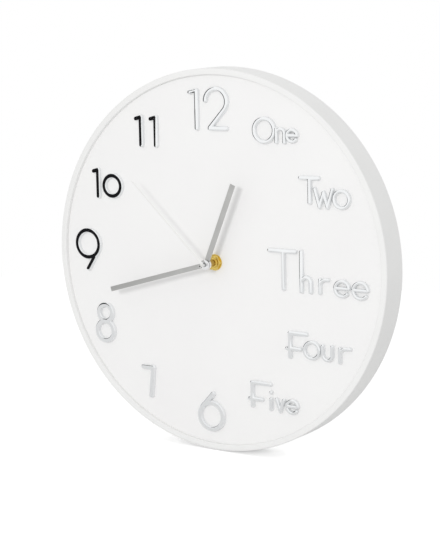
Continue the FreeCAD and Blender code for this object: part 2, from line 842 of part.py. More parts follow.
def make_middle_plate():
    """Plate across the middle of the room that carries the inner pivots."""
    body = new_body("middle_plate")
    outline = front_sketch(body, back_of("middle_plate"), "Outline")
    edge = "(movement_width / 2 - movement_wall - loose_gap)"
    add_rectangle(outline, "-" + edge, edge, "-room_floor + loose_gap", PLATE_TOP)
    thickness = "middle_plate_back - middle_plate_front"
    pad(body, outline, thickness)
    holes = front_sketch(body, back_of("middle_plate"), "Holes")
    add_spots(holes, [HAND_AXIS], "minute_arbor_radius + running_gap")
    add_squares(holes, [THIRD_CENTRE], "pillar_half")
    add_spots(holes, [INTERMEDIATE_CENTRE, ROTOR_CENTRE], "pivot_radius + running_gap")
    add_squares(holes, PILLAR_SPOTS, "peg_half + seat_gap")
    pocket(body, holes, thickness)
    return body


def hand_blade(body, length, root, tip, depth, angle):
    """Flat blade that widens from its root to a square tip, turned to its rest angle."""
    sketch = front_sketch(body, "-(%s)" % depth, "Blade")
    add_polygon(sketch, [
        ("-(%s) / 2" % root, "0"),
        ("(%s) / 2" % root, "0"),
        ("(%s) / 2" % tip, length),
        ("-(%s) / 2" % tip, length),
    ])
    pad(body, sketch, "hand_thickness")
    body.Placement = FreeCAD.Placement(
        FreeCAD.Vector(), FreeCAD.Rotation(FreeCAD.Vector(0, 1, 0), number(angle)))
    body.setExpression("Placement.Rotation.Angle", bind(angle))


def make_hour_hand():
    """Short hand: a flared blade on a round boss that presses on the hour pipe."""
    body = new_body("hour_hand")
    hand_blade(body, "hour_hand_length", "hour_hand_root", "hour_hand_tip",
               "hour_hand_depth", "hour_hand_angle")
    eye = "hour_pipe_radius + seat_gap"
    boss = front_sketch(body, "-hour_hand_depth + boss_height", "Boss")
    add_circle(boss, "0", "0", "boss_radius")
    pad(body, boss, "boss_height + hand_thickness")
    hole = front_sketch(body, "-hour_hand_depth + boss_height", "Eye")
    add_circle(hole, "0", "0", eye)
    pocket(body, hole, "boss_height + hand_thickness")
    return body


def make_minute_hand():
    """Long hand: a flared blade on a round boss that presses on the minute arbor."""
    body = new_body("minute_hand")
    hand_blade(body, "minute_hand_length", "minute_hand_root", "minute_hand_tip",
               "minute_hand_depth", "minute_hand_angle")
    boss_back = "-minute_hand_depth + minute_boss_height"
    boss = front_sketch(body, boss_back, "Boss")
    add_circle(boss, "0", "0", "boss_radius")
    pad(body, boss, "hand_thickness + minute_boss_height")
    hole = front_sketch(body, boss_back, "Eye")
    add_circle(hole, "0", "0", "minute_arbor_radius + seat_gap")
    pocket(body, hole, "hand_thickness + minute_boss_height")
    return body


def make_second_hand():
    """Needle on a long tube that presses on the second arbor and stands proud in front."""
    body = new_body("second_hand")
    hand_blade(body, "second_hand_length", "second_hand_root", "second_hand_tip",
               "second_hand_depth", "second_hand_angle")
    barrel = front_sketch(body, "-second_tube_back", "Tube")
    add_circle(barrel, "0", "0", "second_tube_radius")
    pad(body, barrel, "second_tube_front - second_tube_back")
    hole = front_sketch(body, "-second_tube_back", "Eye")
    add_circle(hole, "0", "0", "second_arbor_radius + seat_gap")
    pocket(body, hole, "second_tube_front - second_tube_back")
    return body


def gear_pad(body, teeth, module, phase, front, back, bore="0"):
    """Pad one toothed ring between two depths."""
    sketch = front_sketch(body, back, "Teeth")
    add_teeth(sketch, teeth, module, phase, bore)
    pad(body, sketch, "%s - %s" % (back, front))


def rod_pad(body, radius, front, back):
    """Pad a round rod on the body's own axis between two depths."""
    sketch = front_sketch(body, back, "Rod")
    add_circle(sketch, "0", "0", radius)
    pad(body, sketch, "%s - (%s)" % (back, front))


def make_hour_wheel():
    """Hour wheel moulded in one with the pipe that carries the hour hand."""
    body = new_body("hour_wheel")
    bore = "minute_arbor_radius + running_gap"
    phase = gap_phase(HOUR_TEETH, MINUTE_WHEEL_DIRECTION)
    gear_pad(body, HOUR_TEETH, MODULE_HOUR, phase,
             front_of("hour_wheel"), back_of("hour_wheel"), bore)
    tube(body, bore, "hour_pipe_radius", "-hour_hand_depth - hand_thickness",
         layer("hour_wheel_front + sink"))
    return body


def make_minute_arbor():
    """Brass tube on the hands' axis that carries the minute hand."""
    body = new_body("minute_arbor")
    tube(body, "second_arbor_radius + running_gap", "minute_arbor_radius",
         "-minute_hand_depth - 2 * hand_thickness", layer("middle_plate_back - sink"))
    return body


def make_cannon_pinion():
    """Pinion fixed on the minute arbor, which drives the minute wheel."""
    body = new_body("cannon_pinion")
    gear_pad(body, CANNON_TEETH, MODULE_MINUTE, MINUTE_WHEEL_DIRECTION,
             front_of("cannon_pinion"), back_of("cannon_pinion"),
             "minute_arbor_radius + seat_gap")
    return body


def make_friction_spring():
    """Three-armed spring plate: the slipping clutch between the train and the minute arbor."""
    body = new_body("friction_spring")
    plate = front_sketch(body, back_of("friction_spring"), "Arms")
    add_star(plate, SPRING_ARMS, number("spring_radius"), number("spring_waist"))
    add_circle(plate, "0", "0", "minute_arbor_radius + seat_gap")
    pad(body, plate, "friction_spring_back - friction_spring_front")
    return body


def make_centre_wheel():
    """Centre wheel that rides on the minute arbor and turns once an hour."""
    body = new_body("centre_wheel")
    gear_pad(body, CENTRE_TEETH, MODULE_CENTRE, gap_phase(CENTRE_TEETH, THIRD_DIRECTION),
             front_of("centre_wheel"), back_of("centre_wheel"),
             "minute_arbor_radius + running_gap")
    return body


def make_minute_wheel():
    """Minute wheel and its pinion, turning on the post of the housing."""
    body = new_body("minute_wheel")
    place(body, MINUTE_WHEEL_CENTRE)
    bore = "post_radius + running_gap"
    back = MINUTE_WHEEL_DIRECTION + 180.0
    gear_pad(body, MINUTE_TEETH, MODULE_MINUTE, gap_phase(MINUTE_TEETH, back),
             front_of("minute_wheel"), back_of("minute_wheel"), bore)
    gear_pad(body, MINUTE_PINION_LEAVES, MODULE_HOUR, back,
             front_of("minute_pinion"), back_of("minute_pinion"), bore)
    return body


def make_third_wheel():
    """Third wheel and pinion on one arbor."""
    body = new_body("third_wheel")
    place(body, THIRD_CENTRE)
    back = THIRD_DIRECTION + 180.0
    gear_pad(body, THIRD_TEETH, MODULE_THIRD, gap_phase(THIRD_TEETH, back),
             front_of("third_wheel"), back_of("third_wheel"))
    gear_pad(body, PINION_LEAVES, MODULE_CENTRE, back,
             front_of("third_pinion"), back_of("third_pinion"))
    rod_pad(body, "pivot_radius", layer("1.4"), front_of("third_pinion"))
    rod_pad(body, "pivot_radius", back_of("third_wheel"), layer("11.0"))
    return body


def make_second_arbor():
    """Steel wire arbor that runs the whole length of the stack and carries the needle."""
    body = new_body("second_arbor")
    shoulder = front_of("circuit_board")
    rod_pad(body, "second_arbor_radius", "-second_arbor_front", shoulder)
    rod_pad(body, "pivot_radius", shoulder, layer(PIVOT_END))
    return body


def make_second_wheel():
    """Second wheel and pinion, moulded round the second arbor."""
    body = new_body("second_wheel")
    bore = "second_arbor_radius + seat_gap"
    gear_pad(body, SECOND_TEETH, MODULE_SECOND,
             gap_phase(SECOND_TEETH, INTERMEDIATE_DIRECTION),
             front_of("second_wheel"), back_of("second_wheel"), bore)
    gear_pad(body, PINION_LEAVES, MODULE_THIRD, THIRD_DIRECTION,
             front_of("second_pinion"), back_of("second_pinion"), bore)
    return body


def make_intermediate_wheel():
    """Intermediate wheel and pinion between the rotor and the second wheel."""
    body = new_body("intermediate_wheel")
    place(body, INTERMEDIATE_CENTRE)
    back = INTERMEDIATE_DIRECTION + 180.0
    gear_pad(body, ROTOR_RATIO_TEETH, MODULE_ROTOR,
             gap_phase(ROTOR_RATIO_TEETH, ROTOR_DIRECTION),
             front_of("intermediate_wheel"), back_of("intermediate_wheel"))
    gear_pad(body, PINION_LEAVES, MODULE_SECOND, back,
             front_of("intermediate_pinion"), back_of("intermediate_pinion"))
    rod_pad(body, "pivot_radius", front_of("middle_plate"), front_of("intermediate_pinion"))
    rod_pad(body, "pivot_radius", back_of("intermediate_wheel"), layer(PIVOT_END))
    return body


def make_rotor_pinion():
    """Rotor pinion with its arbor and both pivots."""
    body = new_body("rotor_pinion")
    place(body, ROTOR_CENTRE)
    gear_pad(body, PINION_LEAVES, MODULE_ROTOR, ROTOR_DIRECTION + 180.0,
             front_of("rotor_pinion"), back_of("rotor_pinion"))
    rod_pad(body, "pivot_radius", front_of("middle_plate"), front_of("rotor_pinion"))
    rod_pad(body, "pivot_radius", back_of("rotor_pinion"), layer(PIVOT_END))
    return body


def make_rotor_magnet():
    """Ring magnet on the rotor arbor, which the stator turns half a turn each second."""
    body = new_body("rotor_magnet")
    place(body, ROTOR_CENTRE)
    tube(body, "pivot_radius + seat_gap", "rotor_magnet_radius",
         front_of("rotor_magnet"), back_of("rotor_magnet"))
    return body


def make_setting_shaft():
    """Setting shaft with the pinion that turns the minute wheel."""
    body = new_body("setting_shaft")
    place(body, SETTING_CENTRE)
    wheel_tooth = gap_phase(MINUTE_TEETH, MINUTE_WHEEL_DIRECTION + 180.0)
    pitch = 360.0 / MINUTE_TEETH
    miss = (SETTING_DIRECTION - wheel_tooth) % pitch / pitch
    phase = SETTING_DIRECTION + 180.0 + (miss + 0.5) * 360.0 / CANNON_TEETH
    front, back = front_of("cannon_pinion"), back_of("cannon_pinion")
    gear_pad(body, CANNON_TEETH, MODULE_MINUTE, phase, front, back)
    rod_pad(body, "setting_shaft_radius", layer("1.0"), front)
    rod_pad(body, "setting_shaft_radius", back, KNOB_BACK)
    return body


def make_setting_knob():
    """Grooved knob on the setting shaft, behind the cover."""
    body = new_body("setting_knob")
    place(body, SETTING_CENTRE)
    disc = front_sketch(body, KNOB_BACK, "Disc")
    rim = number("knob_radius")
    add_star(disc, KNOB_GRIPS, rim, rim - number("knob_groove"))
    add_circle(disc, "0", "0", "setting_shaft_radius + seat_gap")
    pad(body, disc, "knob_thickness")
    return body


def make_stator():
    """Flat iron plate round the rotor, with an arm up to each end of the coil core."""
    body = new_body("stator")
    across, up = ROTOR_CENTRE
    corners = []
    for offset, height in STATOR_OUTLINE:
        level = ARM_TOP if height is None else str(up + height)
        corners.append((str(across + offset), level))
    plate = front_sketch(body, back_of("stator"), "Plate")
    add_polygon(plate, corners)
    add_circle(plate, str(across), str(up), "stator_hole_radius")
    pad(body, plate, "stator_back - stator_front")
    return body


def make_coil_core():
    """Flat iron strip through the coil, lying on the stator's two arms."""
    body = new_body("coil_core")
    reach = "(coil_length / 2 + core_overhang)"
    strip = front_sketch(body, "%s + core_thickness" % back_of("stator"), "Strip")
    add_rectangle(strip, "%s - %s" % (COIL_MIDDLE, reach), "%s + %s" % (COIL_MIDDLE, reach),
                  "coil_height - core_width / 2", "coil_height + core_width / 2")
    pad(body, strip, "core_thickness")
    return body


def coil_box(name, left, right, growth):
    """Box round the coil core between two distances along it, grown on its four sides."""
    front = back_of("stator")
    return make_box(
        name,
        ("%s + %s" % (COIL_MIDDLE, left), "%s - (%s)" % (front, growth),
         "coil_height - core_width / 2 - (%s)" % growth),
        ("%s + %s" % (COIL_MIDDLE, right), "%s + core_thickness + %s" % (front, growth),
         "coil_height + core_width / 2 + %s" % growth))


def cut_out(label, whole, hollow):
    """One named piece: the first solid less the second."""
    piece = doc.addObject("Part::Cut", label)
    piece.Label = label
    piece.Base = whole
    piece.Tool = hollow
    return piece


def make_coil_bobbin():
    """Flat plastic bobbin: a sleeve round the core with a flange at each end."""
    half = "coil_length / 2"
    inside = "(%s - bobbin_flange)" % half
    rim = "sink + bobbin_wall + coil_build + bobbin_wall"
    spool = join("bobbin_body", [
        coil_box("bobbin_sleeve", "-" + half, half, "sink + bobbin_wall"),
        coil_box("bobbin_left_flange", "-" + half, "-" + inside, rim),
        coil_box("bobbin_right_flange", inside, half, rim),
    ])
    return cut_out("coil_bobbin", spool, coil_box("core_space", "-" + half, half, "sink"))


def make_coil_winding():
    """Copper winding that fills the bobbin between its flanges."""
    half = "(coil_length / 2 - bobbin_flange)"
    whole = coil_box("winding_body", "-" + half, half, "sink + bobbin_wall + coil_build")
    return cut_out("coil_winding", whole,
                   coil_box("sleeve_space", "-" + half, half, "sink + bobbin_wall"))


def make_circuit_board():
    """L-shaped board that joins the two battery contacts to the coil."""
    body = new_body("circuit_board")
    sketch = front_sketch(body, back_of("circuit_board"), "Board")
    add_polygon(sketch, [
        ("-board_edge", "-board_low"), ("board_edge", "-board_low"),
        ("board_edge", "board_top"), ("board_step", "board_top"),
        ("board_step", "-board_waist"), ("-board_edge", "-board_waist"),
    ])
    pad(body, sketch, "circuit_board_back - circuit_board_front")
    return body


def make_crystal():
    """Quartz crystal in its small can, lying on the board."""
    can = doc.addObject("Part::Cylinder", "quartz_crystal")
    can.Label = "quartz_crystal"
    can.setExpression("Radius", bind("crystal_radius"))
    can.setExpression("Height", bind("crystal_length"))
    can.Placement.Base = FreeCAD.Vector(CRYSTAL_SPOT[0], 0, CRYSTAL_SPOT[1])
    can.setExpression("Placement.Base.y",
                      bind("%s + crystal_radius" % back_of("circuit_board")))
    return can


def make_chip():
    """Low drop of black resin over the timing chip."""
    body = new_body("timing_chip")
    place(body, CHIP_SPOT)
    board = back_of("circuit_board")
    profile = (("0", "0"), ("2.4", "0"), ("1.6", "1.0"), ("0", "1.0"))
    turn(body, [(radius, "%s + %s" % (board, rise)) for radius, rise in profile])
    return body


def join(label, pieces):
    """Fuse primitives into one named piece."""
    fusion = doc.addObject("Part::MultiFuse", label)
    fusion.Label = label
    fusion.Shapes = pieces
    fusion.Refine = True
    return fusion


def make_box(name, low, high):
    """Upright box between two corners given as expressions."""
    box = doc.addObject("Part::Box", name)
    for extent, axis, near, far in zip(("Length", "Width", "Height"), "xyz", low, high):
        box.setExpression(extent, bind("(%s) - (%s)" % (far, near)))
        box.setExpression("Placement.Base.%s" % axis, bind(near))
    return box


def make_contact(label, side):
    """Battery contact: an end plate with a bump, a tail through the notch, a tab on the board."""
    def across(near, far):
        """Put two distances from the middle in order as low and high X on this side."""
        ends = sorted((side * number(near), side * number(far)))
        return str(ends[0]), str(ends[1])

    outside = "(contact_inner + contact_gauge)"
    plate = across("contact_inner", outside)
    tab = across("%s - tab_length" % outside, outside)
    plate_top = "(contact_width / 2 - cell_height)"
    tail_top = "-contact_tail_top"
    board = back_of("circuit_board")
    pieces = [
        make_box(label + "_plate",
                 (plate[0], layer(CONTACT_PLATE_FRONT), "%s - contact_width" % plate_top),
                 (plate[1], layer(CONTACT_PLATE_BACK), plate_top)),
        make_box(label + "_tail", (plate[0], layer(CONTACT_TAIL_FRONT), plate_top),
                 (plate[1], "%s + contact_gauge" % board, tail_top)),
        make_box(label + "_tab", (tab[0], board, "%s - tab_length" % tail_top),
                 (tab[1], "%s + contact_gauge" % board, tail_top)),
    ]
    bump = across("contact_inner - contact_bump", "contact_inner")
    pieces.append(make_box(
        label + "_bump",
        (bump[0], "%s - bump_half" % CELL_DEPTH, "-cell_height - bump_half"),
        (bump[1], "%s + bump_half" % CELL_DEPTH, "-cell_height + bump_half")))
    return join(label, pieces)


def make_cell():
    """Plain dry cell, lying across the bay with its button to the right."""
    body = new_body("battery_cell")
    sketch = plane_sketch(body, "XY_Plane", "Section")
    half = "cell_length / 2"
    shoulder = half + " - cell_button_height"
    add_polygon(sketch, [
        ("-" + half, "0"), (half, "0"),
        (half, "cell_button_radius"), (shoulder, "cell_button_radius"),
        (shoulder, "cell_radius"), ("-" + half, "cell_radius"),
    ])
    feature = body.newObject("PartDesign::Revolution", "Turned")
    feature.Profile = sketch
    feature.ReferenceAxis = (sketch, ["H_Axis"])
    feature.Angle = 360
    sketch.Visibility = False
    body.setExpression("Placement.Base.y", bind(CELL_DEPTH))
    body.setExpression("Placement.Base.z", bind("-cell_height"))
    return body


def check(piece):
    """Stop unless a piece has one or more closed, valid solids."""
    shape = piece.Shape
    if shape.isNull() or not shape.isValid() or not shape.Solids:
        raise RuntimeError("%s has no valid solid" % piece.Label)
    for solid in shape.Solids:
        if not solid.isClosed():
            raise RuntimeError("%s is not closed" % piece.Label)


def main():
    """Build every piece, check the whole document, then write one file for each piece."""
    fill_sheet()
    pieces = [
        make_case_shell(),
        make_dial_plate(),
        make_washer(),
        make_nut(),
        make_gasket(),
        make_bracket(),
        make_bushing(),
        make_housing(),
        make_cover(),
        make_middle_plate(),
        make_hour_hand(),
        make_minute_hand(),
        make_second_hand(),
        make_hour_wheel(),
        make_minute_arbor(),
        make_cannon_pinion(),
        make_friction_spring(),
        make_centre_wheel(),
        make_minute_wheel(),
        make_third_wheel(),
        make_second_arbor(),
        make_second_wheel(),
        make_intermediate_wheel(),
        make_rotor_pinion(),
        make_rotor_magnet(),
        make_setting_shaft(),
        make_setting_knob(),
        make_stator(),
        make_coil_core(),
        make_coil_bobbin(),
        make_coil_winding(),
        make_circuit_board(),
        make_crystal(),
        make_chip(),
        make_contact("positive_contact", 1),
        make_contact("negative_contact", -1),
        make_cell(),
    ]
    for make_number in (make_twelve, make_eleven, make_ten, make_nine, make_eight,
                        make_seven, make_six):
        pieces += make_number()
    doc.recompute()
    for item in doc.Objects:
        if "Invalid" in item.State or "Error" in item.State:
            raise RuntimeError("%s failed: %s" % (item.Label, item.State))
    for piece in pieces:
        check(piece)
    os.makedirs("parts", exist_ok=True)
    for piece in pieces:
        piece.Shape.exportStep("parts/%s.step" % piece.Label)
    print("pieces written:", len(pieces))


main()
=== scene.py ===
"""Looks of the word clock: mouldings, mirror letters, hands, movement, light and camera.

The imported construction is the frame: +Z points to twelve o'clock, +X to three o'clock and +Y to
the wall, and the origin is the centre of the dial's front face, on the axis of the hands. Sizes
in the classes are millimetres. A finished mesh is scaled to metres once, in place.
"""
import logging
import math
from dataclasses import dataclass
from enum import Enum

import bmesh
import bpy
from mathutils import Matrix, Vector


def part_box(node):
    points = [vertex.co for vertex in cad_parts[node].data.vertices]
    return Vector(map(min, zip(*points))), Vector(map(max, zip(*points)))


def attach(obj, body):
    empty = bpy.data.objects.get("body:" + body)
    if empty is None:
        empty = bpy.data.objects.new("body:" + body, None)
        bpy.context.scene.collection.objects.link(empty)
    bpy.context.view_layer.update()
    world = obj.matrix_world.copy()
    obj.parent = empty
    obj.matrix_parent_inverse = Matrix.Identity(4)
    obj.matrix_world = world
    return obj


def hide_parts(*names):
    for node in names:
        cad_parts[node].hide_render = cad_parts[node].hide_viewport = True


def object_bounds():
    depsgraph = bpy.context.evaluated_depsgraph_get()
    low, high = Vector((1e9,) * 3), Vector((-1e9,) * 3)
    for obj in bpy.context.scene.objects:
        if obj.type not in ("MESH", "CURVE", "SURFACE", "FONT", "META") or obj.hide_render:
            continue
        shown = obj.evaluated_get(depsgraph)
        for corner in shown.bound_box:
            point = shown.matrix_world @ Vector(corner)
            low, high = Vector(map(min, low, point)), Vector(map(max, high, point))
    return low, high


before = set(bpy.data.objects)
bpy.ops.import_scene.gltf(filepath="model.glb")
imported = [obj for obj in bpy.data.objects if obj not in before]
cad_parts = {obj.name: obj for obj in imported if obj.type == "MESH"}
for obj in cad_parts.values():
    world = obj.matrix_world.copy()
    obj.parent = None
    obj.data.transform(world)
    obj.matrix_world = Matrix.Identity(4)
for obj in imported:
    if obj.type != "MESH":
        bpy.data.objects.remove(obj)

CAD_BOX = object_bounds()
MM = 0.001
HANDS_AXIS = Vector((0.0, 1.0, 0.0))
WELD_MM = 0.002
CUTTER_LENGTH = 4.0
BLADE_GAUGE = 0.5
LOG = logging.getLogger("word_clock")


def linear(hex_colour: str) -> tuple[float, float, float, float]:
    """Turn an sRGB hex colour into linear red, green, blue and alpha.

    Args:
        hex_colour: six hex digits, such as "F4F4F2"

    Returns:
        linear values from 0 to 1, with alpha 1
    """
    channels = []
    for start in (0, 2, 4):
        value = int(hex_colour[start:start + 2], 16) / 255
        low = value / 12.92
        high = ((value + 0.055) / 1.055) ** 2.4
        channels.append(low if value <= 0.04045 else high)
    return (channels[0], channels[1], channels[2], 1.0)


def add_node(tree: bpy.types.NodeTree, kind: str, inputs: dict | None = None,
             **settings: object) -> bpy.types.Node:
    """Add one node, set its own properties and feed its sockets.

    Args:
        tree: node tree that gets the node
        kind: the node's type name
        inputs: socket name or index to a plain value, or to the output socket that feeds it
        settings: properties of the node itself

    Returns:
        the new node
    """
    node = tree.nodes.new(kind)
    for name, value in settings.items():
        setattr(node, name, value)
    for socket, value in (inputs or {}).items():
        if isinstance(value, bpy.types.NodeSocket):
            tree.links.new(value, node.inputs[socket])
        else:
            node.inputs[socket].default_value = value
    return node


def empty_tree(owner: bpy.types.Material | bpy.types.World) -> bpy.types.NodeTree:
    """Switch a material or world to nodes and hand out its tree with nothing in it."""
    owner.use_nodes = True
    owner.node_tree.nodes.clear()
    return owner.node_tree


class Grain(Enum):
    """How the tool left the surface: the way its fine marks run."""

    EVEN = (1.0, 1.0, 1.0)
    ALONG_Y = (1.0, 0.04, 1.0)
    ALONG_Z = (1.0, 1.0, 0.04)


@dataclass(frozen=True)
class Finish:
    """A real material with its surface: two close colours, gloss and fine relief.

    Attributes:
        name: the material's common name and how its surface was made
        colour: sRGB hex value of most of the surface
        tint: sRGB hex value of the faint patches in it
        patch_mm: size of those patches
        roughness: middle of the surface's roughness
        roughness_swing: how far the roughness strays with the patches
        grain_mm: spacing of the fine marks
        grain_height_mm: depth of the fine marks
        grain: the way the fine marks run
        metallic: 1 on bare metal and silvering
        ior: index of refraction, where the surface isn't metal
        coat: share of clear lacquer on top
    """

    name: str
    colour: str
    tint: str
    patch_mm: float = 30.0
    roughness: float = 0.4
    roughness_swing: float = 0.04
    grain_mm: float = 0.8
    grain_height_mm: float = 0.01
    grain: Grain = Grain.EVEN
    metallic: float = 0.0
    ior: float = 1.5
    coat: float = 0.0

    def make(self) -> bpy.types.Material:
        """Build the material once and give it out again after that.

        Returns:
            the material, named for this finish
        """
        found = bpy.data.materials.get(self.name)
        if found is not None:
            return found
        material = bpy.data.materials.new(self.name)
        tree = empty_tree(material)
        place = add_node(tree, "ShaderNodeTexCoord").outputs["Object"]
        patches = add_node(tree, "ShaderNodeTexNoise", {
            "Vector": place, "Scale": 1 / (self.patch_mm * MM), "Detail": 2.0}).outputs["Fac"]
        colour = add_node(tree, "ShaderNodeMix", {
            0: patches, 6: linear(self.colour), 7: linear(self.tint)},
            data_type="RGBA").outputs[2]
        shine = add_node(tree, "ShaderNodeMapRange", {
            "Value": patches, "From Min": 0.3, "From Max": 0.7,
            "To Min": self.roughness - self.roughness_swing,
            "To Max": self.roughness + self.roughness_swing}).outputs["Result"]
        along = add_node(tree, "ShaderNodeMapping", {
            "Vector": place, "Scale": self.grain.value}).outputs["Vector"]
        marks = add_node(tree, "ShaderNodeTexNoise", {
            "Vector": along, "Scale": 1 / (self.grain_mm * MM), "Detail": 3.0}).outputs["Fac"]
        relief = add_node(tree, "ShaderNodeBump", {
            "Height": marks, "Distance": self.grain_height_mm * MM}).outputs["Normal"]
        shader = add_node(tree, "ShaderNodeBsdfPrincipled", {
            "Base Color": colour, "Roughness": shine, "Normal": relief,
            "Metallic": self.metallic, "IOR": self.ior, "Coat Weight": self.coat})
        add_node(tree, "ShaderNodeOutputMaterial", {"Surface": shader.outputs["BSDF"]})
        return material


# Injection-moulded ABS, spark-eroded mould: a soft white with a low sheen.
CASE_ABS = Finish("moulded_white_abs", "F3F3F2", "EFEFEE", 45.0, 0.36, 0.03, 0.7, 0.006)
# The same resin from a finer mould: flatter, so the dial shows hardly any reflection.
DIAL_ABS = Finish("fine_matt_white_abs", "F7F7F6", "F3F2F2", 70.0, 0.55, 0.04, 0.5, 0.005)
# Silvered acrylic sheet: a true mirror that waves very slightly over a few millimetres.
MIRROR = Finish("silvered_acrylic_mirror", "F6F7F8", "F0F2F3", 12.0, 0.045, 0.015, 9.0, 0.004,
                metallic=1.0)
# Side walls of the letters and digits, as a sawn edge with faint saw lines and half gloss; their
# near-white tone is painted reflection of the white dial and painted light that lifts the sides out
# of their shade.
LETTER_SIDE_PAINTED_LIGHT = Finish("letter_side_painted_reflection", "F2F3F4", "E8EAEB", 4.0, 0.3, 0.06, 0.4, 0.01,
                    grain=Grain.ALONG_Y, ior=1.49, coat=0.4)
# Aluminium strip, satin rolled: fine lines along the blades, grey rather than bright.
HAND_METAL = Finish("satin_rolled_aluminium", "CDCDCB", "C2C2C0", 14.0, 0.42, 0.05, 0.25, 0.006,
                    metallic=0.75)
# Enamelled steel needle: smooth white paint.
WHITE_ENAMEL = Finish("white_enamelled_steel", "F2F2F0", "ECECEA", 10.0, 0.3, 0.04, 1.5, 0.002)
# Turned brass, lacquered: light yellow with small patches of a deeper tint.
BRASS = Finish("turned_lacquered_brass", "EED67C", "DDBB5A", 2.5, 0.24, 0.06, 0.2, 0.004,
               metallic=1.0, coat=0.2)
# Drawn steel tube and wire: clean and bright with a fine drawn line.
DRAWN_STEEL = Finish("drawn_bright_steel", "B9BABC", "A4A6A8", 3.0, 0.28, 0.06, 0.2, 0.006,
                     grain=Grain.ALONG_Y, metallic=1.0)
# Zinc-plated pressed steel: cold grey with a cloudy bloom.
ZINC_STEEL = Finish("zinc_plated_steel", "B3B6B8", "93979C", 9.0, 0.38, 0.09, 0.5, 0.008,
                    grain=Grain.ALONG_Z, metallic=1.0)
# Nickel-plated spring strip of the battery contacts.
NICKEL = Finish("nickel_plated_spring_strip", "C6C2B8", "AFABA2", 5.0, 0.3, 0.05, 0.4, 0.005,
                metallic=1.0)
# Black ABS with an eroded texture, as movement cases have.
BLACK_ABS = Finish("eroded_black_abs", "1C1C1E", "232325", 18.0, 0.52, 0.06, 0.45, 0.02)
# Natural acetal of the moulded wheels: milky and waxy.
ACETAL = Finish("natural_acetal", "E6E2D6", "DAD5C6", 4.0, 0.42, 0.05, 0.3, 0.003, ior=1.48)
# The same resin dyed brass yellow, for the hour tube that shows beside the nut.
YELLOW_ACETAL = Finish("brass_yellow_acetal", "C9A652", "B8933F", 3.0, 0.36, 0.05, 0.3, 0.003,
                       ior=1.48)
# Polished aluminium of the bosses: nearly a mirror, so it shows white with dark edges.
BOSS_METAL = Finish("polished_aluminium_boss", "F2F2F3", "E6E7E8", 2.0, 0.12, 0.03, 0.3, 0.002,
                    metallic=1.0)
# Painted shade: the inside of a narrow tube is coloured near black for the shade that falls where
# no light gets in.
PAINTED_BORE_SHADE = Finish("painted_shade_tube_bore", "141414", "1E1E1E", 0.6, 0.6, 0.05, 0.2, 0.004)
# Sintered ring magnet: dark and slightly sparkling.
FERRITE = Finish("sintered_ferrite", "2C2C2E", "3A3A3D", 1.2, 0.6, 0.08, 0.2, 0.02, metallic=0.4)
# Enamelled copper wire, wound in layers round X.
COPPER = Finish("enamelled_copper_wire", "B5622E", "8E4720", 1.4, 0.3, 0.06, 0.12, 0.03,
                grain=Grain.ALONG_Z, metallic=0.9, coat=0.5)
# Glass-fibre board under green lacquer.
LAMINATE = Finish("green_lacquered_laminate", "1F5A34", "184A2A", 3.0, 0.35, 0.05, 0.5, 0.01)
# Resin drop over the chip.
RESIN = Finish("black_epoxy_resin", "121212", "1C1C1B", 2.0, 0.25, 0.05, 1.0, 0.01)
# Soft ring moulded from black rubber.
RUBBER = Finish("moulded_black_rubber", "1A1A1A", "222221", 6.0, 0.75, 0.05, 0.4, 0.02)
# Printed shrink sleeve of the cell: dark grey over steel.
CELL_SLEEVE = Finish("grey_shrink_sleeve", "3B3F45", "32363B", 20.0, 0.24, 0.04, 2.0, 0.004,
                     coat=0.3)
# Tin-plated ends of the cell.
CELL_END = Finish("tin_plated_cell_end", "C9CACB", "B4B6B8", 3.0, 0.25, 0.05, 0.3, 0.004,
                  metallic=1.0)

CAD_FINISHES = {
    "dial_plate": DIAL_ABS,
    "hour_wheel": YELLOW_ACETAL,
    "minute_arbor": DRAWN_STEEL,
    "second_arbor": DRAWN_STEEL,
    "cannon_pinion": BRASS,
    "friction_spring": NICKEL,
    "centre_wheel": ACETAL,
    "minute_wheel": ACETAL,
    "third_wheel": ACETAL,
    "second_wheel": ACETAL,
    "intermediate_wheel": ACETAL,
    "rotor_pinion": ACETAL,
    "rotor_magnet": FERRITE,
    "setting_shaft": ACETAL,
    "stator": ZINC_STEEL,
    "coil_core": ZINC_STEEL,
    "coil_bobbin": ACETAL,
    "coil_winding": COPPER,
    "circuit_board": LAMINATE,
    "quartz_crystal": NICKEL,
    "timing_chip": RESIN,
    "positive_contact": NICKEL,
    "negative_contact": NICKEL,
    "rubber_gasket": RUBBER,
    "middle_plate": BLACK_ABS,
    "movement_housing": BLACK_ABS,
}


def deliver(mesh: bmesh.types.BMesh, name: str, body: str,
            finishes: list[Finish], sharp_degrees: float = 35.0) -> bpy.types.Object:
    """Turn a finished bmesh in millimetres into a piece in metres that rides on a body.

    Args:
        mesh: closed mesh in millimetres, in the frame's axes; it is freed here
        name: the piece's name
        body: the body that it moves with
        finishes: one finish for each material index
        sharp_degrees: edges that turn by more than this stay sharp in the shading

    Returns:
        the new object, at the origin, unturned and unscaled
    """
    bmesh.ops.remove_doubles(mesh, verts=mesh.verts, dist=WELD_MM)
    bmesh.ops.recalc_face_normals(mesh, faces=mesh.faces)
    bmesh.ops.scale(mesh, vec=(MM, MM, MM), verts=mesh.verts)
    data = bpy.data.meshes.new(name)
    mesh.to_mesh(data)
    mesh.free()
    piece = bpy.data.objects.new(name, data)
    bpy.context.scene.collection.objects.link(piece)
    for finish in finishes:
        data.materials.append(finish.make())
    data.shade_smooth()
    data.set_sharp_from_angle(angle=math.radians(sharp_degrees))
    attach(piece, body)
    LOG.info("%s: %d faces, rides on %s", name, len(data.polygons), body)
    return piece


def even_shading(piece: bpy.types.Object) -> None:
    """Let the large faces set the shading of a piece, so that flat ones look flat."""
    piece.modifiers.new("even_face", "WEIGHTED_NORMAL").keep_sharp = True


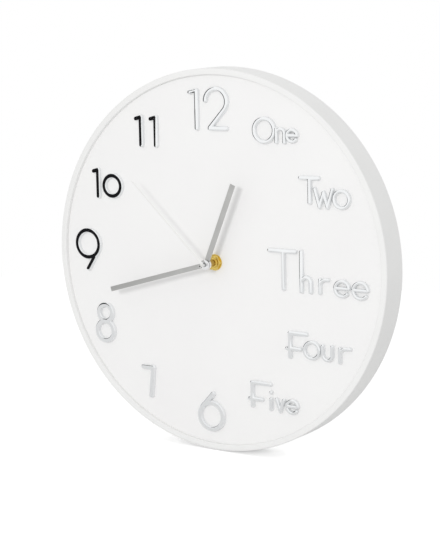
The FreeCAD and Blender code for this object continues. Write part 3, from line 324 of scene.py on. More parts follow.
def break_edges(piece: bpy.types.Object, name: str, width: float) -> None:
    """Round a piece's sharp edges with a modifier.

    Args:
        piece: the piece
        name: the modifier's name
        width: width of the rounding in millimetres
    """
    bevel = piece.modifiers.new(name, "BEVEL")
    bevel.width = width * MM
    bevel.segments = 2
    bevel.limit_method = "ANGLE"
    bevel.angle_limit = math.radians(50)


def thicken(mesh: bmesh.types.BMesh, faces: list, travel: tuple[float, float, float]) -> None:
    """Pull flat faces into a solid.

    Args:
        mesh: holds the faces
        faces: the faces that are pulled
        travel: how far and which way they go, in millimetres
    """
    grown = bmesh.ops.extrude_face_region(mesh, geom=faces)["geom"]
    fresh = [item for item in grown if isinstance(item, bmesh.types.BMVert)]
    bmesh.ops.translate(mesh, vec=travel, verts=fresh)


def cutter(radius: float, centre: tuple[float, float, float],
           segments: int) -> bmesh.types.BMesh:
    """Round tool along the axis of the hands, which cuts a hole or a groove.

    Args:
        radius: its radius in millimetres
        centre: its middle in millimetres
        segments: facets round it

    Returns:
        a closed bmesh in millimetres
    """
    tool = bmesh.new()
    bmesh.ops.create_cone(tool, cap_ends=True, segments=segments, radius1=radius,
                          radius2=radius, depth=CUTTER_LENGTH,
                          matrix=Matrix.Rotation(math.radians(90), 4, "X"))
    bmesh.ops.translate(tool, vec=centre, verts=tool.verts)
    return tool


def lathe(mesh: bmesh.types.BMesh, corners: list[tuple[float, float, float]],
          steps: int, closed: bool = True) -> None:
    """Turn a profile about the axis of the hands.

    Args:
        mesh: gets the turned surface
        corners: (radius, depth, rounding) of each corner in order, in millimetres
        steps: how many facets the full turn has
        closed: whether the last corner joins the first
    """
    work = bmesh.new()
    verts = [work.verts.new((radius, depth, 0.0)) for radius, depth, _ in corners]
    work.faces.new(verts)
    for vert, (_, _, rounding) in zip(verts, corners):
        if rounding > 0:
            bmesh.ops.bevel(work, geom=[vert], offset=rounding, offset_type="OFFSET",
                            segments=5, profile=0.5, affect="VERTICES", material=-1)
    outline = work.faces[:][0]
    bmesh.ops.delete(work, geom=[outline], context="FACES_ONLY")
    if not closed:
        on_axis = [edge for edge in work.edges if all(v.co.x < WELD_MM for v in edge.verts)]
        bmesh.ops.delete(work, geom=on_axis, context="EDGES")
    bmesh.ops.spin(work, geom=work.verts[:] + work.edges[:], cent=(0, 0, 0), axis=HANDS_AXIS,
                   angle=2 * math.pi, steps=steps, use_merge=True)
    bmesh.ops.remove_doubles(work, verts=work.verts, dist=WELD_MM)
    append(mesh, work)


def append(mesh: bmesh.types.BMesh, other: bmesh.types.BMesh,
           place: Matrix | None = None) -> None:
    """Add one bmesh's geometry to another and free it.

    Args:
        mesh: grows by the other's geometry
        other: is freed
        place: where the other goes, if not where it is
    """
    bmesh.ops.recalc_face_normals(other, faces=other.faces)
    if place is not None:
        bmesh.ops.transform(other, matrix=place, verts=other.verts)
    carrier = bpy.data.meshes.new("carrier")
    other.to_mesh(carrier)
    other.free()
    mesh.from_mesh(carrier)
    bpy.data.meshes.remove(carrier)


def block(mesh: bmesh.types.BMesh, low: tuple[float, float, float],
          high: tuple[float, float, float], rounding: float,
          place: Matrix | None = None) -> None:
    """Add a box with rounded edges between two corners.

    Args:
        mesh: gets the box
        low: lowest corner in millimetres
        high: highest corner in millimetres
        rounding: radius of the edges
        place: where the box goes, if not where its corners say
    """
    work = bmesh.new()
    bmesh.ops.create_cube(work, size=1.0)
    size = Vector(high) - Vector(low)
    middle = (Vector(high) + Vector(low)) / 2
    bmesh.ops.scale(work, vec=size, verts=work.verts)
    bmesh.ops.translate(work, vec=middle, verts=work.verts)
    bmesh.ops.bevel(work, geom=work.edges[:], offset=rounding, offset_type="OFFSET",
                    segments=3, profile=0.5, affect="EDGES", material=-1)
    append(mesh, work, place)


def combine(base: bmesh.types.BMesh, tools: list[bmesh.types.BMesh],
            operation: str) -> bmesh.types.BMesh:
    """Fuse, cut or intersect closed meshes.

    Args:
        base: first mesh; it is freed
        tools: the others, used one by one; they are freed
        operation: UNION, DIFFERENCE or INTERSECT

    Returns:
        a new bmesh with the result
    """
    helpers = []
    for index, source in enumerate([base] + tools):
        bmesh.ops.recalc_face_normals(source, faces=source.faces)
        data = bpy.data.meshes.new("helper%d" % index)
        source.to_mesh(data)
        source.free()
        helper = bpy.data.objects.new("helper%d" % index, data)
        bpy.context.scene.collection.objects.link(helper)
        helpers.append(helper)
    for tool in helpers[1:]:
        step = helpers[0].modifiers.new("combine", "BOOLEAN")
        step.operation = operation
        step.solver = "EXACT"
        step.object = tool
    depsgraph = bpy.context.evaluated_depsgraph_get()
    depsgraph.update()
    fused = bpy.data.meshes.new_from_object(helpers[0].evaluated_get(depsgraph))
    result = bmesh.new()
    result.from_mesh(fused)
    bpy.data.meshes.remove(fused)
    for helper in helpers:
        data = helper.data
        bpy.data.objects.remove(helper)
        bpy.data.meshes.remove(data)
    return result


@dataclass
class Stroke:
    """One raised stroke of a letter or digit, laid on the dial like a bead from a pen.

    Points are (right, up) in millimetres from the dial's centre, and headings are degrees
    anticlockwise from three o'clock.

    Attributes:
        start: middle of the stroke's first end
        heading: the way that the pen sets off
        moves: (length, 0) for a straight run, or (radius, degrees) for a bend, left if positive
    """

    start: tuple[float, float]
    heading: float
    moves: list[tuple[float, float]]


@dataclass
class Ring:
    """A closed round stroke.

    Attributes:
        centre: (right, up) of its centre in millimetres from the dial's centre
        radius: radius of its middle line
    """

    centre: tuple[float, float]
    radius: float


def bar(start: tuple[float, float], end: tuple[float, float], bury: float = 0.0) -> Stroke:
    """Straight stroke between two points.

    Args:
        start: first end
        end: second end
        bury: how much shorter the stroke is at its start, to hide that end in another stroke

    Returns:
        the stroke
    """
    across, up = end[0] - start[0], end[1] - start[1]
    length = math.hypot(across, up)
    begin = (start[0] + across / length * bury, start[1] + up / length * bury)
    return Stroke(begin, math.degrees(math.atan2(up, across)), [(length - bury, 0.0)])


def zigzag(points: list[tuple[float, float]]) -> list[Stroke]:
    """Straight strokes from point to point, each with its start hidden in the one before."""
    return [bar(start, end, 0.0 if index == 0 else 0.35)
            for index, (start, end) in enumerate(zip(points, points[1:]))]


def arc(centre: tuple[float, float], radius: float, start_angle: float,
        end_angle: float) -> Stroke:
    """Bent stroke round a centre, from one angle to another, either way.

    Args:
        centre: (right, up) of the centre
        radius: radius of the middle line
        start_angle: where it starts, in degrees from three o'clock
        end_angle: where it ends; larger than the start for an anticlockwise stroke

    Returns:
        the stroke
    """
    angle = math.radians(start_angle)
    start = (centre[0] + radius * math.cos(angle), centre[1] + radius * math.sin(angle))
    turn = end_angle - start_angle
    return Stroke(start, start_angle + math.copysign(90.0, turn), [(radius, turn)])


@dataclass
class LetterPen:
    """Makes the body of a stroke: flat mirror face, rounded shoulders and round ends.

    Attributes:
        width: width of the stroke
        height: how far its face stands in front of the dial
        shoulder: radius between the face and the sides
        sink: how deep its back sits in the dial
        facet_mm: length of a facet along a bend
    """

    width: float
    height: float = 3.0
    shoulder: float = 0.7
    sink: float = 0.02
    facet_mm: float = 0.45

    def section(self, mesh: bmesh.types.BMesh, point: Vector, side: Vector) -> list:
        """Draw the stroke's section across a point.

        Args:
            mesh: gets the wire outline
            point: middle of the section, on the dial
            side: unit vector to the right of the pen

        Returns:
            the outline's edges
        """
        half = self.width / 2
        corners = [(-half, -self.sink), (0, -self.sink), (half, -self.sink),
                   (half, self.height), (0, self.height), (-half, self.height)]
        verts = [mesh.verts.new(point + side * across - HANDS_AXIS * rise)
                 for across, rise in corners]
        mesh.faces.new(verts)
        bmesh.ops.bevel(mesh, geom=[verts[3], verts[5]], offset=self.shoulder,
                        offset_type="OFFSET", segments=4, profile=0.5, affect="VERTICES",
                        material=-1)
        outline = mesh.faces[:][-1]
        edges = outline.edges[:]
        bmesh.ops.delete(mesh, geom=[outline], context="FACES_ONLY")
        return edges

    def cap(self, mesh: bmesh.types.BMesh, edges: list, point: Vector, side: Vector,
            turn: float) -> None:
        """Close an end with half a turn of the right half of the section."""
        right = [edge for edge in edges
                 if all((vert.co - point).dot(side) > -WELD_MM for vert in edge.verts)]
        verts = list({vert for edge in right for vert in edge.verts})
        steps = max(8, round(math.pi * self.width / 2 / self.facet_mm))
        bmesh.ops.spin(mesh, geom=verts + right, cent=point, axis=HANDS_AXIS,
                       angle=turn, steps=steps, use_merge=False)

    def stroke(self, stroke: Stroke) -> bmesh.types.BMesh:
        """Lay one open stroke.

        Args:
            stroke: where it starts and how it runs

        Returns:
            a closed bmesh in millimetres
        """
        mesh = bmesh.new()
        point = Vector((stroke.start[0], 0.0, stroke.start[1]))
        heading = math.radians(stroke.heading)
        side = Vector((math.sin(heading), 0.0, -math.cos(heading)))
        edges = self.section(mesh, point, side)
        self.cap(mesh, edges, point, side, math.pi)
        for size, bend in stroke.moves:
            verts = list({vert for edge in edges for vert in edge.verts})
            if bend == 0:
                ahead = Vector((math.cos(heading), 0.0, math.sin(heading))) * size
                grown = bmesh.ops.extrude_edge_only(mesh, edges=edges)["geom"]
                fresh = [item for item in grown if isinstance(item, bmesh.types.BMVert)]
                bmesh.ops.translate(mesh, vec=ahead, verts=fresh)
                point = point + ahead
            else:
                angle = math.radians(bend)
                centre = point - side * math.copysign(size, bend)
                steps = max(4, round(abs(angle) * size / self.facet_mm))
                grown = bmesh.ops.spin(mesh, geom=verts + edges, cent=centre, axis=HANDS_AXIS,
                                       angle=-angle, steps=steps,
                                       use_merge=False)["geom_last"]
                turn = Matrix.Rotation(-angle, 3, HANDS_AXIS)
                point = centre + turn @ (point - centre)
                side = turn @ side
                heading += angle
            edges = [item for item in grown if isinstance(item, bmesh.types.BMEdge)]
            if bend == 0:
                edges = [edge for edge in edges if all(vert in fresh for vert in edge.verts)]
        self.cap(mesh, edges, point, side, -math.pi)
        bmesh.ops.remove_doubles(mesh, verts=mesh.verts, dist=WELD_MM)
        return mesh

    def ring(self, ring: Ring) -> bmesh.types.BMesh:
        """Lay one closed ring and return it as a closed bmesh in millimetres."""
        mesh = bmesh.new()
        centre = Vector((ring.centre[0], 0.0, ring.centre[1]))
        side = Vector((1.0, 0.0, 0.0))
        edges = self.section(mesh, centre + side * ring.radius, side)
        verts = list({vert for edge in edges for vert in edge.verts})
        steps = round(2 * math.pi * ring.radius / self.facet_mm / 8) * 8
        bmesh.ops.spin(mesh, geom=verts + edges, cent=centre, axis=HANDS_AXIS,
                       angle=2 * math.pi, steps=steps, use_merge=True)
        bmesh.ops.remove_doubles(mesh, verts=mesh.verts, dist=WELD_MM)
        return mesh

    def write(self, name: str, strokes: list[Stroke | Ring]) -> bpy.types.Object:
        """Fuse the strokes of one letter or digit and set it on the dial.

        Args:
            name: the piece's name
            strokes: what the letter is made of

        Returns:
            the finished piece
        """
        bodies = [self.ring(item) if isinstance(item, Ring) else self.stroke(item)
                  for item in strokes]
        mesh = combine(bodies[0], bodies[1:], "UNION") if len(bodies) > 1 else bodies[0]
        bmesh.ops.remove_doubles(mesh, verts=mesh.verts, dist=WELD_MM)
        bmesh.ops.recalc_face_normals(mesh, faces=mesh.faces)
        for face in mesh.faces:
            # side walls get the near-white painted reflection of the dial, the face gets the mirror
            face.material_index = 1 if abs(face.normal.y) < 0.2 else 0
        piece = deliver(mesh, name, "case", [MIRROR, LETTER_SIDE_PAINTED_LIGHT], 50.0)
        even_shading(piece)
        return piece


@dataclass
class HourMarkers:
    """Numerals six to twelve down the left of the dial, one piece for each digit.

    Attributes:
        circle: radius of the circle that the numerals' middles lie on
        stroke: width of their strokes
        droop: how far the tip of a one's flag falls
        flat_shoulder: radius beside the face of the numerals six to eleven
        round_shoulder: radius beside the face of the twelve
    """

    circle: float = 121.0
    stroke: float = 3.7
    droop: float = 1.2
    flat_shoulder: float = 0.6
    round_shoulder: float = 1.25

    def put(self, node: str, hour: int, strokes: list[Stroke | Ring]) -> None:
        """Move strokes to an hour's place and let them stand for the CAD digit there.

        Args:
            node: the CAD node that the piece replaces
            hour: the hour that the digit belongs to
            strokes: its strokes, from the middle of the hour's place
        """
        angle = math.radians(90 - 30 * hour)
        across, up = self.circle * math.cos(angle), self.circle * math.sin(angle)
        moved = []
        for item in strokes:
            if isinstance(item, Ring):
                moved.append(Ring((item.centre[0] + across, item.centre[1] + up), item.radius))
            else:
                start = (item.start[0] + across, item.start[1] + up)
                moved.append(Stroke(start, item.heading, item.moves))
        shoulder = self.round_shoulder if hour == 12 else self.flat_shoulder
        piece = LetterPen(self.stroke, shoulder=shoulder).write(node + "_mirror", moved)
        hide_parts(node)

    def one(self, stem: float, top: float, foot: float, flag: float) -> list[Stroke]:
        """Strokes of a one: an upright stem and a short flag to its left."""
        return [bar((stem, top), (stem, foot)),
                bar((stem - flag, top - self.droop), (stem - 0.4, top - 0.1))]

    def build(self) -> None:
        """Make all ten digits."""
        self.put("numeral_12_one", 12, self.one(-13.8, 14.0, -15.4, 6.2))
        bow = arc((4.1, 5.9), 9.8, 176.0, -43.0)
        bow.moves.append((18.8, 0.0))
        self.put("numeral_12_two", 12, [bow, bar((-1.6, -15.1), (13.4, -15.1))])
        self.put("numeral_11_left", 11, self.one(-7.0, 8.6, -13.6, 4.6))
        self.put("numeral_11_right", 11, self.one(7.4, 8.6, -13.6, 4.6))
        self.put("numeral_10_one", 10, self.one(-7.4, 8.9, -12.9, 4.2))
        self.put("numeral_10_nought", 10, [Ring((7.3, -3.8), 8.4)])
        self.put("numeral_9", 9, [Ring((-3.4, 7.2), 11.3), bar((2.9, -3.4), (-4.0, -13.8))])
        self.put("numeral_8", 8, [Ring((-3.9, 10.4), 6.8), Ring((-4.3, -4.9), 8.3)])
        self.put("numeral_7", 7, [bar((-10.6, 12.9), (-0.6, 12.9)),
                                  bar((-0.6, 12.9), (-3.2, -10.9), 0.35)])
        self.put("numeral_6", 6, [Ring((-4.7, -4.3), 10.9), bar((-2.9, 14.0), (-12.9, 2.9))])


@dataclass
class HourWords:
    """The hours one to five as raised words down the right of the dial.

    Attributes:
        capital: width of the strokes of the capitals
        small: width of the strokes of the small letters
    """

    capital: float = 3.3
    small: float = 2.7

    def letter_e(self, across: float, up: float, radius: float) -> list[Stroke]:
        """A round e: an open ring with a bar across its middle."""
        return [arc((across, up), radius, 4.0, 318.0),
                bar((across - radius + 0.4, up + 0.2), (across + radius - 0.5, up + 0.2))]

    def arch(self, left: float, right: float, foot: float, shoulder: float) -> Stroke:
        """The bow of an n or h, from its left stem over to its right foot."""
        radius = (right - left) / 2
        spring = shoulder - radius
        return Stroke((left, spring - 0.5), 90.0,
                      [(0.5, 0.0), (radius, -180.0), (spring - foot, 0.0)])

    def arm(self, stem: float, low: float, radius: float, reach: float) -> Stroke:
        """The arm of an r, from its stem up and to the right."""
        return Stroke((stem, low), 90.0, [(1.0, 0.0), (radius, -88.0), (reach, 0.0)])

    def build(self) -> None:
        """Make every letter of the five words."""
        tall = LetterPen(self.capital, shoulder=1.15)
        low = LetterPen(self.small, shoulder=0.95)
        words = [
            (tall, "one_o", [Ring((47.5, 105.6), 8.9)]),
            (low, "one_n", [bar((58.4, 107.0), (58.4, 96.6)), self.arch(58.4, 65.4, 96.6, 107.0)]),
            (low, "one_e", self.letter_e(72.0, 102.0, 4.4)),
            (tall, "two_t", [bar((79.0, 70.6), (94.4, 70.6)), bar((87.0, 70.2), (87.0, 52.0))]),
            (low, "two_w", zigzag([(91.4, 62.6), (95.6, 48.8), (99.0, 60.4), (102.4, 48.8),
                                   (106.4, 62.6)])),
            (low, "two_o", [Ring((114.1, 55.6), 6.4)]),
            (tall, "three_t", [bar((51.0, 13.5), (73.8, 13.5)), bar((63.6, 13.1), (63.6, -15.8))]),
            (tall, "three_h", [bar((79.3, 13.9), (79.3, -16.6)),
                               self.arch(79.3, 87.4, -16.6, -5.6)]),
            (low, "three_r", [bar((95.6, -6.1), (95.6, -16.7)), self.arm(95.6, -11.7, 4.6, 2.4)]),
            (low, "three_e_left", self.letter_e(114.2, -11.8, 5.8)),
            (low, "three_e_right", self.letter_e(129.8, -12.1, 6.1)),
            (tall, "four_f", [bar((68.9, -49.9), (68.9, -68.7)), bar((68.5, -49.9), (82.9, -49.9)),
                              bar((66.2, -62.2), (77.5, -62.2))]),
            (low, "four_o", [Ring((88.0, -61.8), 6.4)]),
            (low, "four_u", [Stroke((97.6, -57.2), -90.0, [(7.0, 0.0), (4.0, 180.0), (7.0, 0.0)])]),
            (low, "four_r", [bar((112.4, -57.9), (112.4, -68.7)),
                             self.arm(112.4, -63.4, 4.6, 4.2)]),
            (tall, "five_f", [bar((34.2, -93.0), (34.2, -112.0)), bar((33.8, -93.0), (50.5, -93.0)),
                              bar((31.5, -106.2), (42.8, -106.2))]),
            (low, "five_i", [bar((51.2, -104.6), (51.2, -113.0))]),
            (low, "five_dot", [bar((51.2, -99.2), (51.2, -99.5))]),
            (low, "five_v", zigzag([(56.2, -104.2), (59.6, -113.6), (62.8, -104.2)])),
            (low, "five_e", self.letter_e(70.3, -108.6, 4.9)),
        ]
        for pen, name, strokes in words:
            pen.write("letter_" + name, strokes)


@dataclass
class CaseMoulding:
    """The white ring: flat rim, nearly straight wall, open back and snap lugs.

    Attributes:
        rim_width: width of the flat rim
        wall: thickness of the side wall
        edge: rounding of the rim's two edges
        lug_count: how many lugs hold the dial
        lug_width: width of a lug along the wall
        lug_reach: how far a lug stands in from the wall
        lug_front: depth where a lug starts
        lug_back: depth where a lug ends
        flare: how much wider the wall is at the back than at the front
    """

    rim_width: float = 5.0
    wall: float = 2.6
    edge: float = 1.0
    lug_count: int = 6
    lug_width: float = 14.0
    lug_reach: float = 1.6
    lug_front: float = 2.3
    lug_back: float = 3.7
    flare: float = 0.6

    def build(self) -> None:
        """Make the ring around the frame's own box and let it replace the CAD shell."""
        low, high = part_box("case_shell")
        back_radius = high.x / MM
        front_radius = back_radius - self.flare
        front, back = low.y / MM, high.y / MM
        inner = front_radius - self.rim_width
        seat = front_radius - self.wall
        mesh = bmesh.new()
        lathe(mesh, [
            (inner, front, 0.8),
            (front_radius, front, self.edge),
            (back_radius, back, 0.5),
            (seat, back, 0.5),
            (seat, 0.0, 0.0),
            (inner, 0.0, 0.2),
        ], 288)
        for index in range(self.lug_count):
            turn = Matrix.Rotation(2 * math.pi * index / self.lug_count, 4, HANDS_AXIS)
            block(mesh, (seat - self.lug_reach, self.lug_front, -self.lug_width / 2),
                  (seat + self.wall / 2, self.lug_back, self.lug_width / 2), 0.3, turn)
        piece = deliver(mesh, "case_ring", "case", [CASE_ABS])
        even_shading(piece)
        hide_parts("case_shell")


@dataclass
class Blade:
    """One flat hand: a flared blade with a square tip on a round boss.

    Attributes:
        node: the CAD hand that it replaces
        body: the body that it turns with
        angle: degrees clockwise from twelve at rest
        length: from the axis to the tip
        root: width at the boss
        tip: width at the tip
        front: depth of the blade's front face
        thickness: thickness of the blade
        hole: radius of the eye
        mouth: radius of the opening at the boss's front end, as wide as the eye or wider
        boss: outer radius of the boss
        boss_front: depth of the boss's front end
        boss_back: depth of the boss's back end
        slot: name of the hand's material slot; not used
        finish: finish of the blade
        boss_finish: finish of the boss
        mouth_depth: how deep that opening is
        largest_edge: widest rounding of the boss's front edge
    """

    node: str
    body: str
    angle: float
    length: float
    root: float
    tip: float
    front: float
    thickness: float
    hole: float
    mouth: float
    boss: float
    boss_front: float
    boss_back: float
    slot: str
    finish: Finish
    boss_finish: Finish
    mouth_depth: float = 1.2
    largest_edge: float = 0.35

    def build(self) -> None:
        """Make the blade and boss, turn them to rest and replace the CAD hand."""
        mesh = bmesh.new()
        work = bmesh.new()
        start = (self.boss + self.hole) / 2
        corners = [(-self.root / 2, start), (self.root / 2, start),
                   (self.tip / 2, self.length), (-self.tip / 2, self.length)]
        plate = work.faces.new([work.verts.new((across, self.front, up))
                                for across, up in corners])
        thicken(work, [plate], (0, self.thickness, 0))
        bmesh.ops.recalc_face_normals(work, faces=work.faces)
        bmesh.ops.bevel(work, geom=work.edges[:], offset=self.thickness / 4,
                        offset_type="OFFSET", segments=2, profile=0.5, affect="EDGES",
                        material=-1)
        append(mesh, work)
        blade_faces = len(mesh.faces)
        edge = min(self.largest_edge, (self.boss - self.hole) / 4)
        bottom = self.boss_front + self.mouth_depth
        lathe(mesh, [
            (self.mouth, self.boss_front, 0.0),
            (self.boss, self.boss_front, edge),
            (self.boss, self.boss_back, edge / 2),
            (self.hole, self.boss_back, 0.0),
            (self.hole, bottom, 0.0),
            (self.mouth, bottom, 0.0),
        ], 48)
        mesh.faces.ensure_lookup_table()
        for face in mesh.faces[blade_faces:]:
            reach = max(math.hypot(vert.co.x, vert.co.z) for vert in face.verts)
            # faces inside the mouth get the painted shade of the bore, the rest of the boss gets
            # the boss finish
            face.material_index = 2 if reach < self.mouth + WELD_MM else 1
        turn = Matrix.Rotation(math.radians(self.angle), 4, HANDS_AXIS)
        bmesh.ops.transform(mesh, matrix=turn, verts=mesh.verts)
        piece = deliver(mesh, self.node + "_blade", self.body,
                        [self.finish, self.boss_finish, PAINTED_BORE_SHADE])
        even_shading(piece)
        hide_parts(self.node)


@dataclass
class Hub:
    """Brass nut, washer and threaded nose that clamp the movement to the dial.

    Attributes:
        across_flats: size of the hexagon nut
        nose: outer radius of the thread
        thread_depth: from crest to root
        pitch: distance between the thread's turns
        bore: radius of the hole through the nose
        nut_gap: between the nose and the nut's bore
        washer_gap: between the nose and the washer's bore
    """

    across_flats: float = 11.0
    nose: float = 4.0
    thread_depth: float = 0.3
    pitch: float = 0.75
    bore: float = 2.56
    nut_gap: float = 0.02
    washer_gap: float = 0.1

    def nut(self) -> None:
        """A hexagon with turned chamfers and a round bore."""
        low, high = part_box("hex_nut")
        front, back = low.y / MM, high.y / MM
        corner = self.across_flats / 2 / math.cos(math.radians(30))
        hexagon = bmesh.new()
        made = bmesh.ops.create_circle(hexagon, cap_ends=True, radius=corner, segments=6,
                                       matrix=Matrix.Rotation(math.radians(90), 4, "X"))
        bmesh.ops.translate(hexagon, vec=(0, front, 0), verts=made["verts"])
        bmesh.ops.rotate(hexagon, cent=(0, 0, 0), verts=hexagon.verts,
                         matrix=Matrix.Rotation(math.radians(30), 3, HANDS_AXIS))
        thicken(hexagon, hexagon.faces[:], (0, back - front, 0))
        blank = bmesh.new()
        slope = (corner - self.across_flats / 2) * 0.6
        lathe(blank, [
            (self.nose + self.nut_gap, front, 0.0),
            (self.across_flats / 2 * 0.98, front, 0.1),
            (corner + 0.1, front + slope, 0.0),
            (corner + 0.1, back, 0.0),
            (self.nose + self.nut_gap, back, 0.0),
        ], 64)
        mesh = combine(hexagon, [blank], "INTERSECT")
        piece = deliver(mesh, "brass_hex_nut", "case", [BRASS], 25.0)
        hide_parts("hex_nut")

    def washer(self) -> None:
        """A thin washer with softened edges."""
        low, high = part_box("brass_washer")
        mesh = bmesh.new()
        lathe(mesh, [
            (self.nose + self.washer_gap, low.y / MM, 0.0),
            (high.x / MM, low.y / MM, 0.2),
            (high.x / MM, high.y / MM, 0.1),
            (self.nose + self.washer_gap, high.y / MM, 0.0),
        ], 72)
        piece = deliver(mesh, "turned_washer", "case", [BRASS])
        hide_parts("brass_washer")

    def bushing(self) -> None:
        """The nose with its thread, and the flange inside the movement."""
        low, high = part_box("threaded_bushing")
        front, back = low.y / MM, high.y / MM
        core = self.nose - self.thread_depth
        flange = high.x / MM
        mesh = bmesh.new()
        lathe(mesh, [
            (self.bore, front, 0.2),
            (core, front, 0.2),
            (core, 0.0, 0.0),
            (self.nose, 0.0, 0.0),
            (self.nose, back - 0.5, 0.0),
            (flange, back - 0.5, 0.1),
            (flange, back, 0.1),
            (self.bore, back, 0.0),
        ], 64)
        turns = (abs(front) - 0.4) / self.pitch
        steps_each = 36
        thread = bmesh.new()
        start = front + 0.1
        corners = [(core - 0.05, start), (self.nose, start + self.pitch * 0.45),
                   (core - 0.05, start + self.pitch * 0.9)]
        verts = [thread.verts.new((radius, depth, 0.0)) for radius, depth in corners]
        first = thread.faces.new(verts)
        steps = round(turns * steps_each)
        bmesh.ops.spin(thread, geom=[first] + first.edges[:] + verts, cent=(0, 0, 0),
                       axis=HANDS_AXIS, angle=2 * math.pi * steps / steps_each, steps=steps,
                       dvec=(0, self.pitch / steps_each, 0), use_merge=False)
        append(mesh, thread)
        piece = deliver(mesh, "bushing_nose", "case", [BRASS])
        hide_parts("threaded_bushing")

    def build(self) -> None:
        """Make the three brass pieces."""
        self.nut()
        self.washer()
        self.bushing()


@dataclass
class Hanger:
    """The bent steel strip that the clock hangs by.

    Attributes:
        gauge: thickness of the strip
        inner_bend: inside radius of each bend
        nail_hole: radius of the hole that takes the nail
        bushing_hole: radius of the hole round the bushing
        shelf: height at which the strip bends away from the dial
        nail_height: height of the nail hole
        corner: rounding of the strip's four corners
    """

    gauge: float = 0.8
    inner_bend: float = 0.9
    nail_hole: float = 3.0
    bushing_hole: float = 4.2
    shelf: float = 30.0
    nail_height: float = 44.0
    corner: float = 4.0

    def build(self) -> None:
        """Bend the strip, pierce it and replace the CAD bracket."""
        low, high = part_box("hanging_bracket")
        near, far = low.y / MM, high.y / MM
        foot, top, half = low.z / MM, high.z / MM, high.x / MM
        outer = self.inner_bend + self.gauge
        profile = [
            (near, foot, 0.0),
            (near + self.gauge, foot, 0.0),
            (near + self.gauge, self.shelf, self.inner_bend),
            (far, self.shelf, outer),
            (far, top, 0.0),
            (far - self.gauge, top, 0.0),
            (far - self.gauge, self.shelf + self.gauge, self.inner_bend),
            (near, self.shelf + self.gauge, outer),
        ]
        strip = bmesh.new()
        verts = [strip.verts.new((-half, depth, up)) for depth, up, _ in profile]
        strip.faces.new(verts)
        for vert, (_, _, bend) in zip(verts, profile):
            if bend > 0:
                bmesh.ops.bevel(strip, geom=[vert], offset=bend, offset_type="OFFSET",
                                segments=6, profile=0.5, affect="VERTICES", material=-1)
        thicken(strip, strip.faces[:], (2 * half, 0, 0))
        corners = [edge for edge in strip.edges
                   if abs(edge.verts[0].co.y - edge.verts[1].co.y) > self.gauge / 2
                   and abs(edge.verts[0].co.z - edge.verts[1].co.z) < WELD_MM
                   and min(abs(edge.verts[0].co.z - foot), abs(edge.verts[0].co.z - top)) < 0.01]
        bmesh.ops.bevel(strip, geom=corners, offset=self.corner, offset_type="OFFSET",
                        segments=6, profile=0.5, affect="EDGES", material=-1)
        punches = [cutter(self.nail_hole, (0, far, self.nail_height), 48),
                   cutter(self.bushing_hole, (0, near, 0.0), 48)]
        mesh = combine(strip, punches, "DIFFERENCE")
        piece = deliver(mesh, "bent_hanger", "case", [ZINC_STEEL], 30.0)
        break_edges(piece, "deburred_edge", 0.12)
        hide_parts("hanging_bracket")


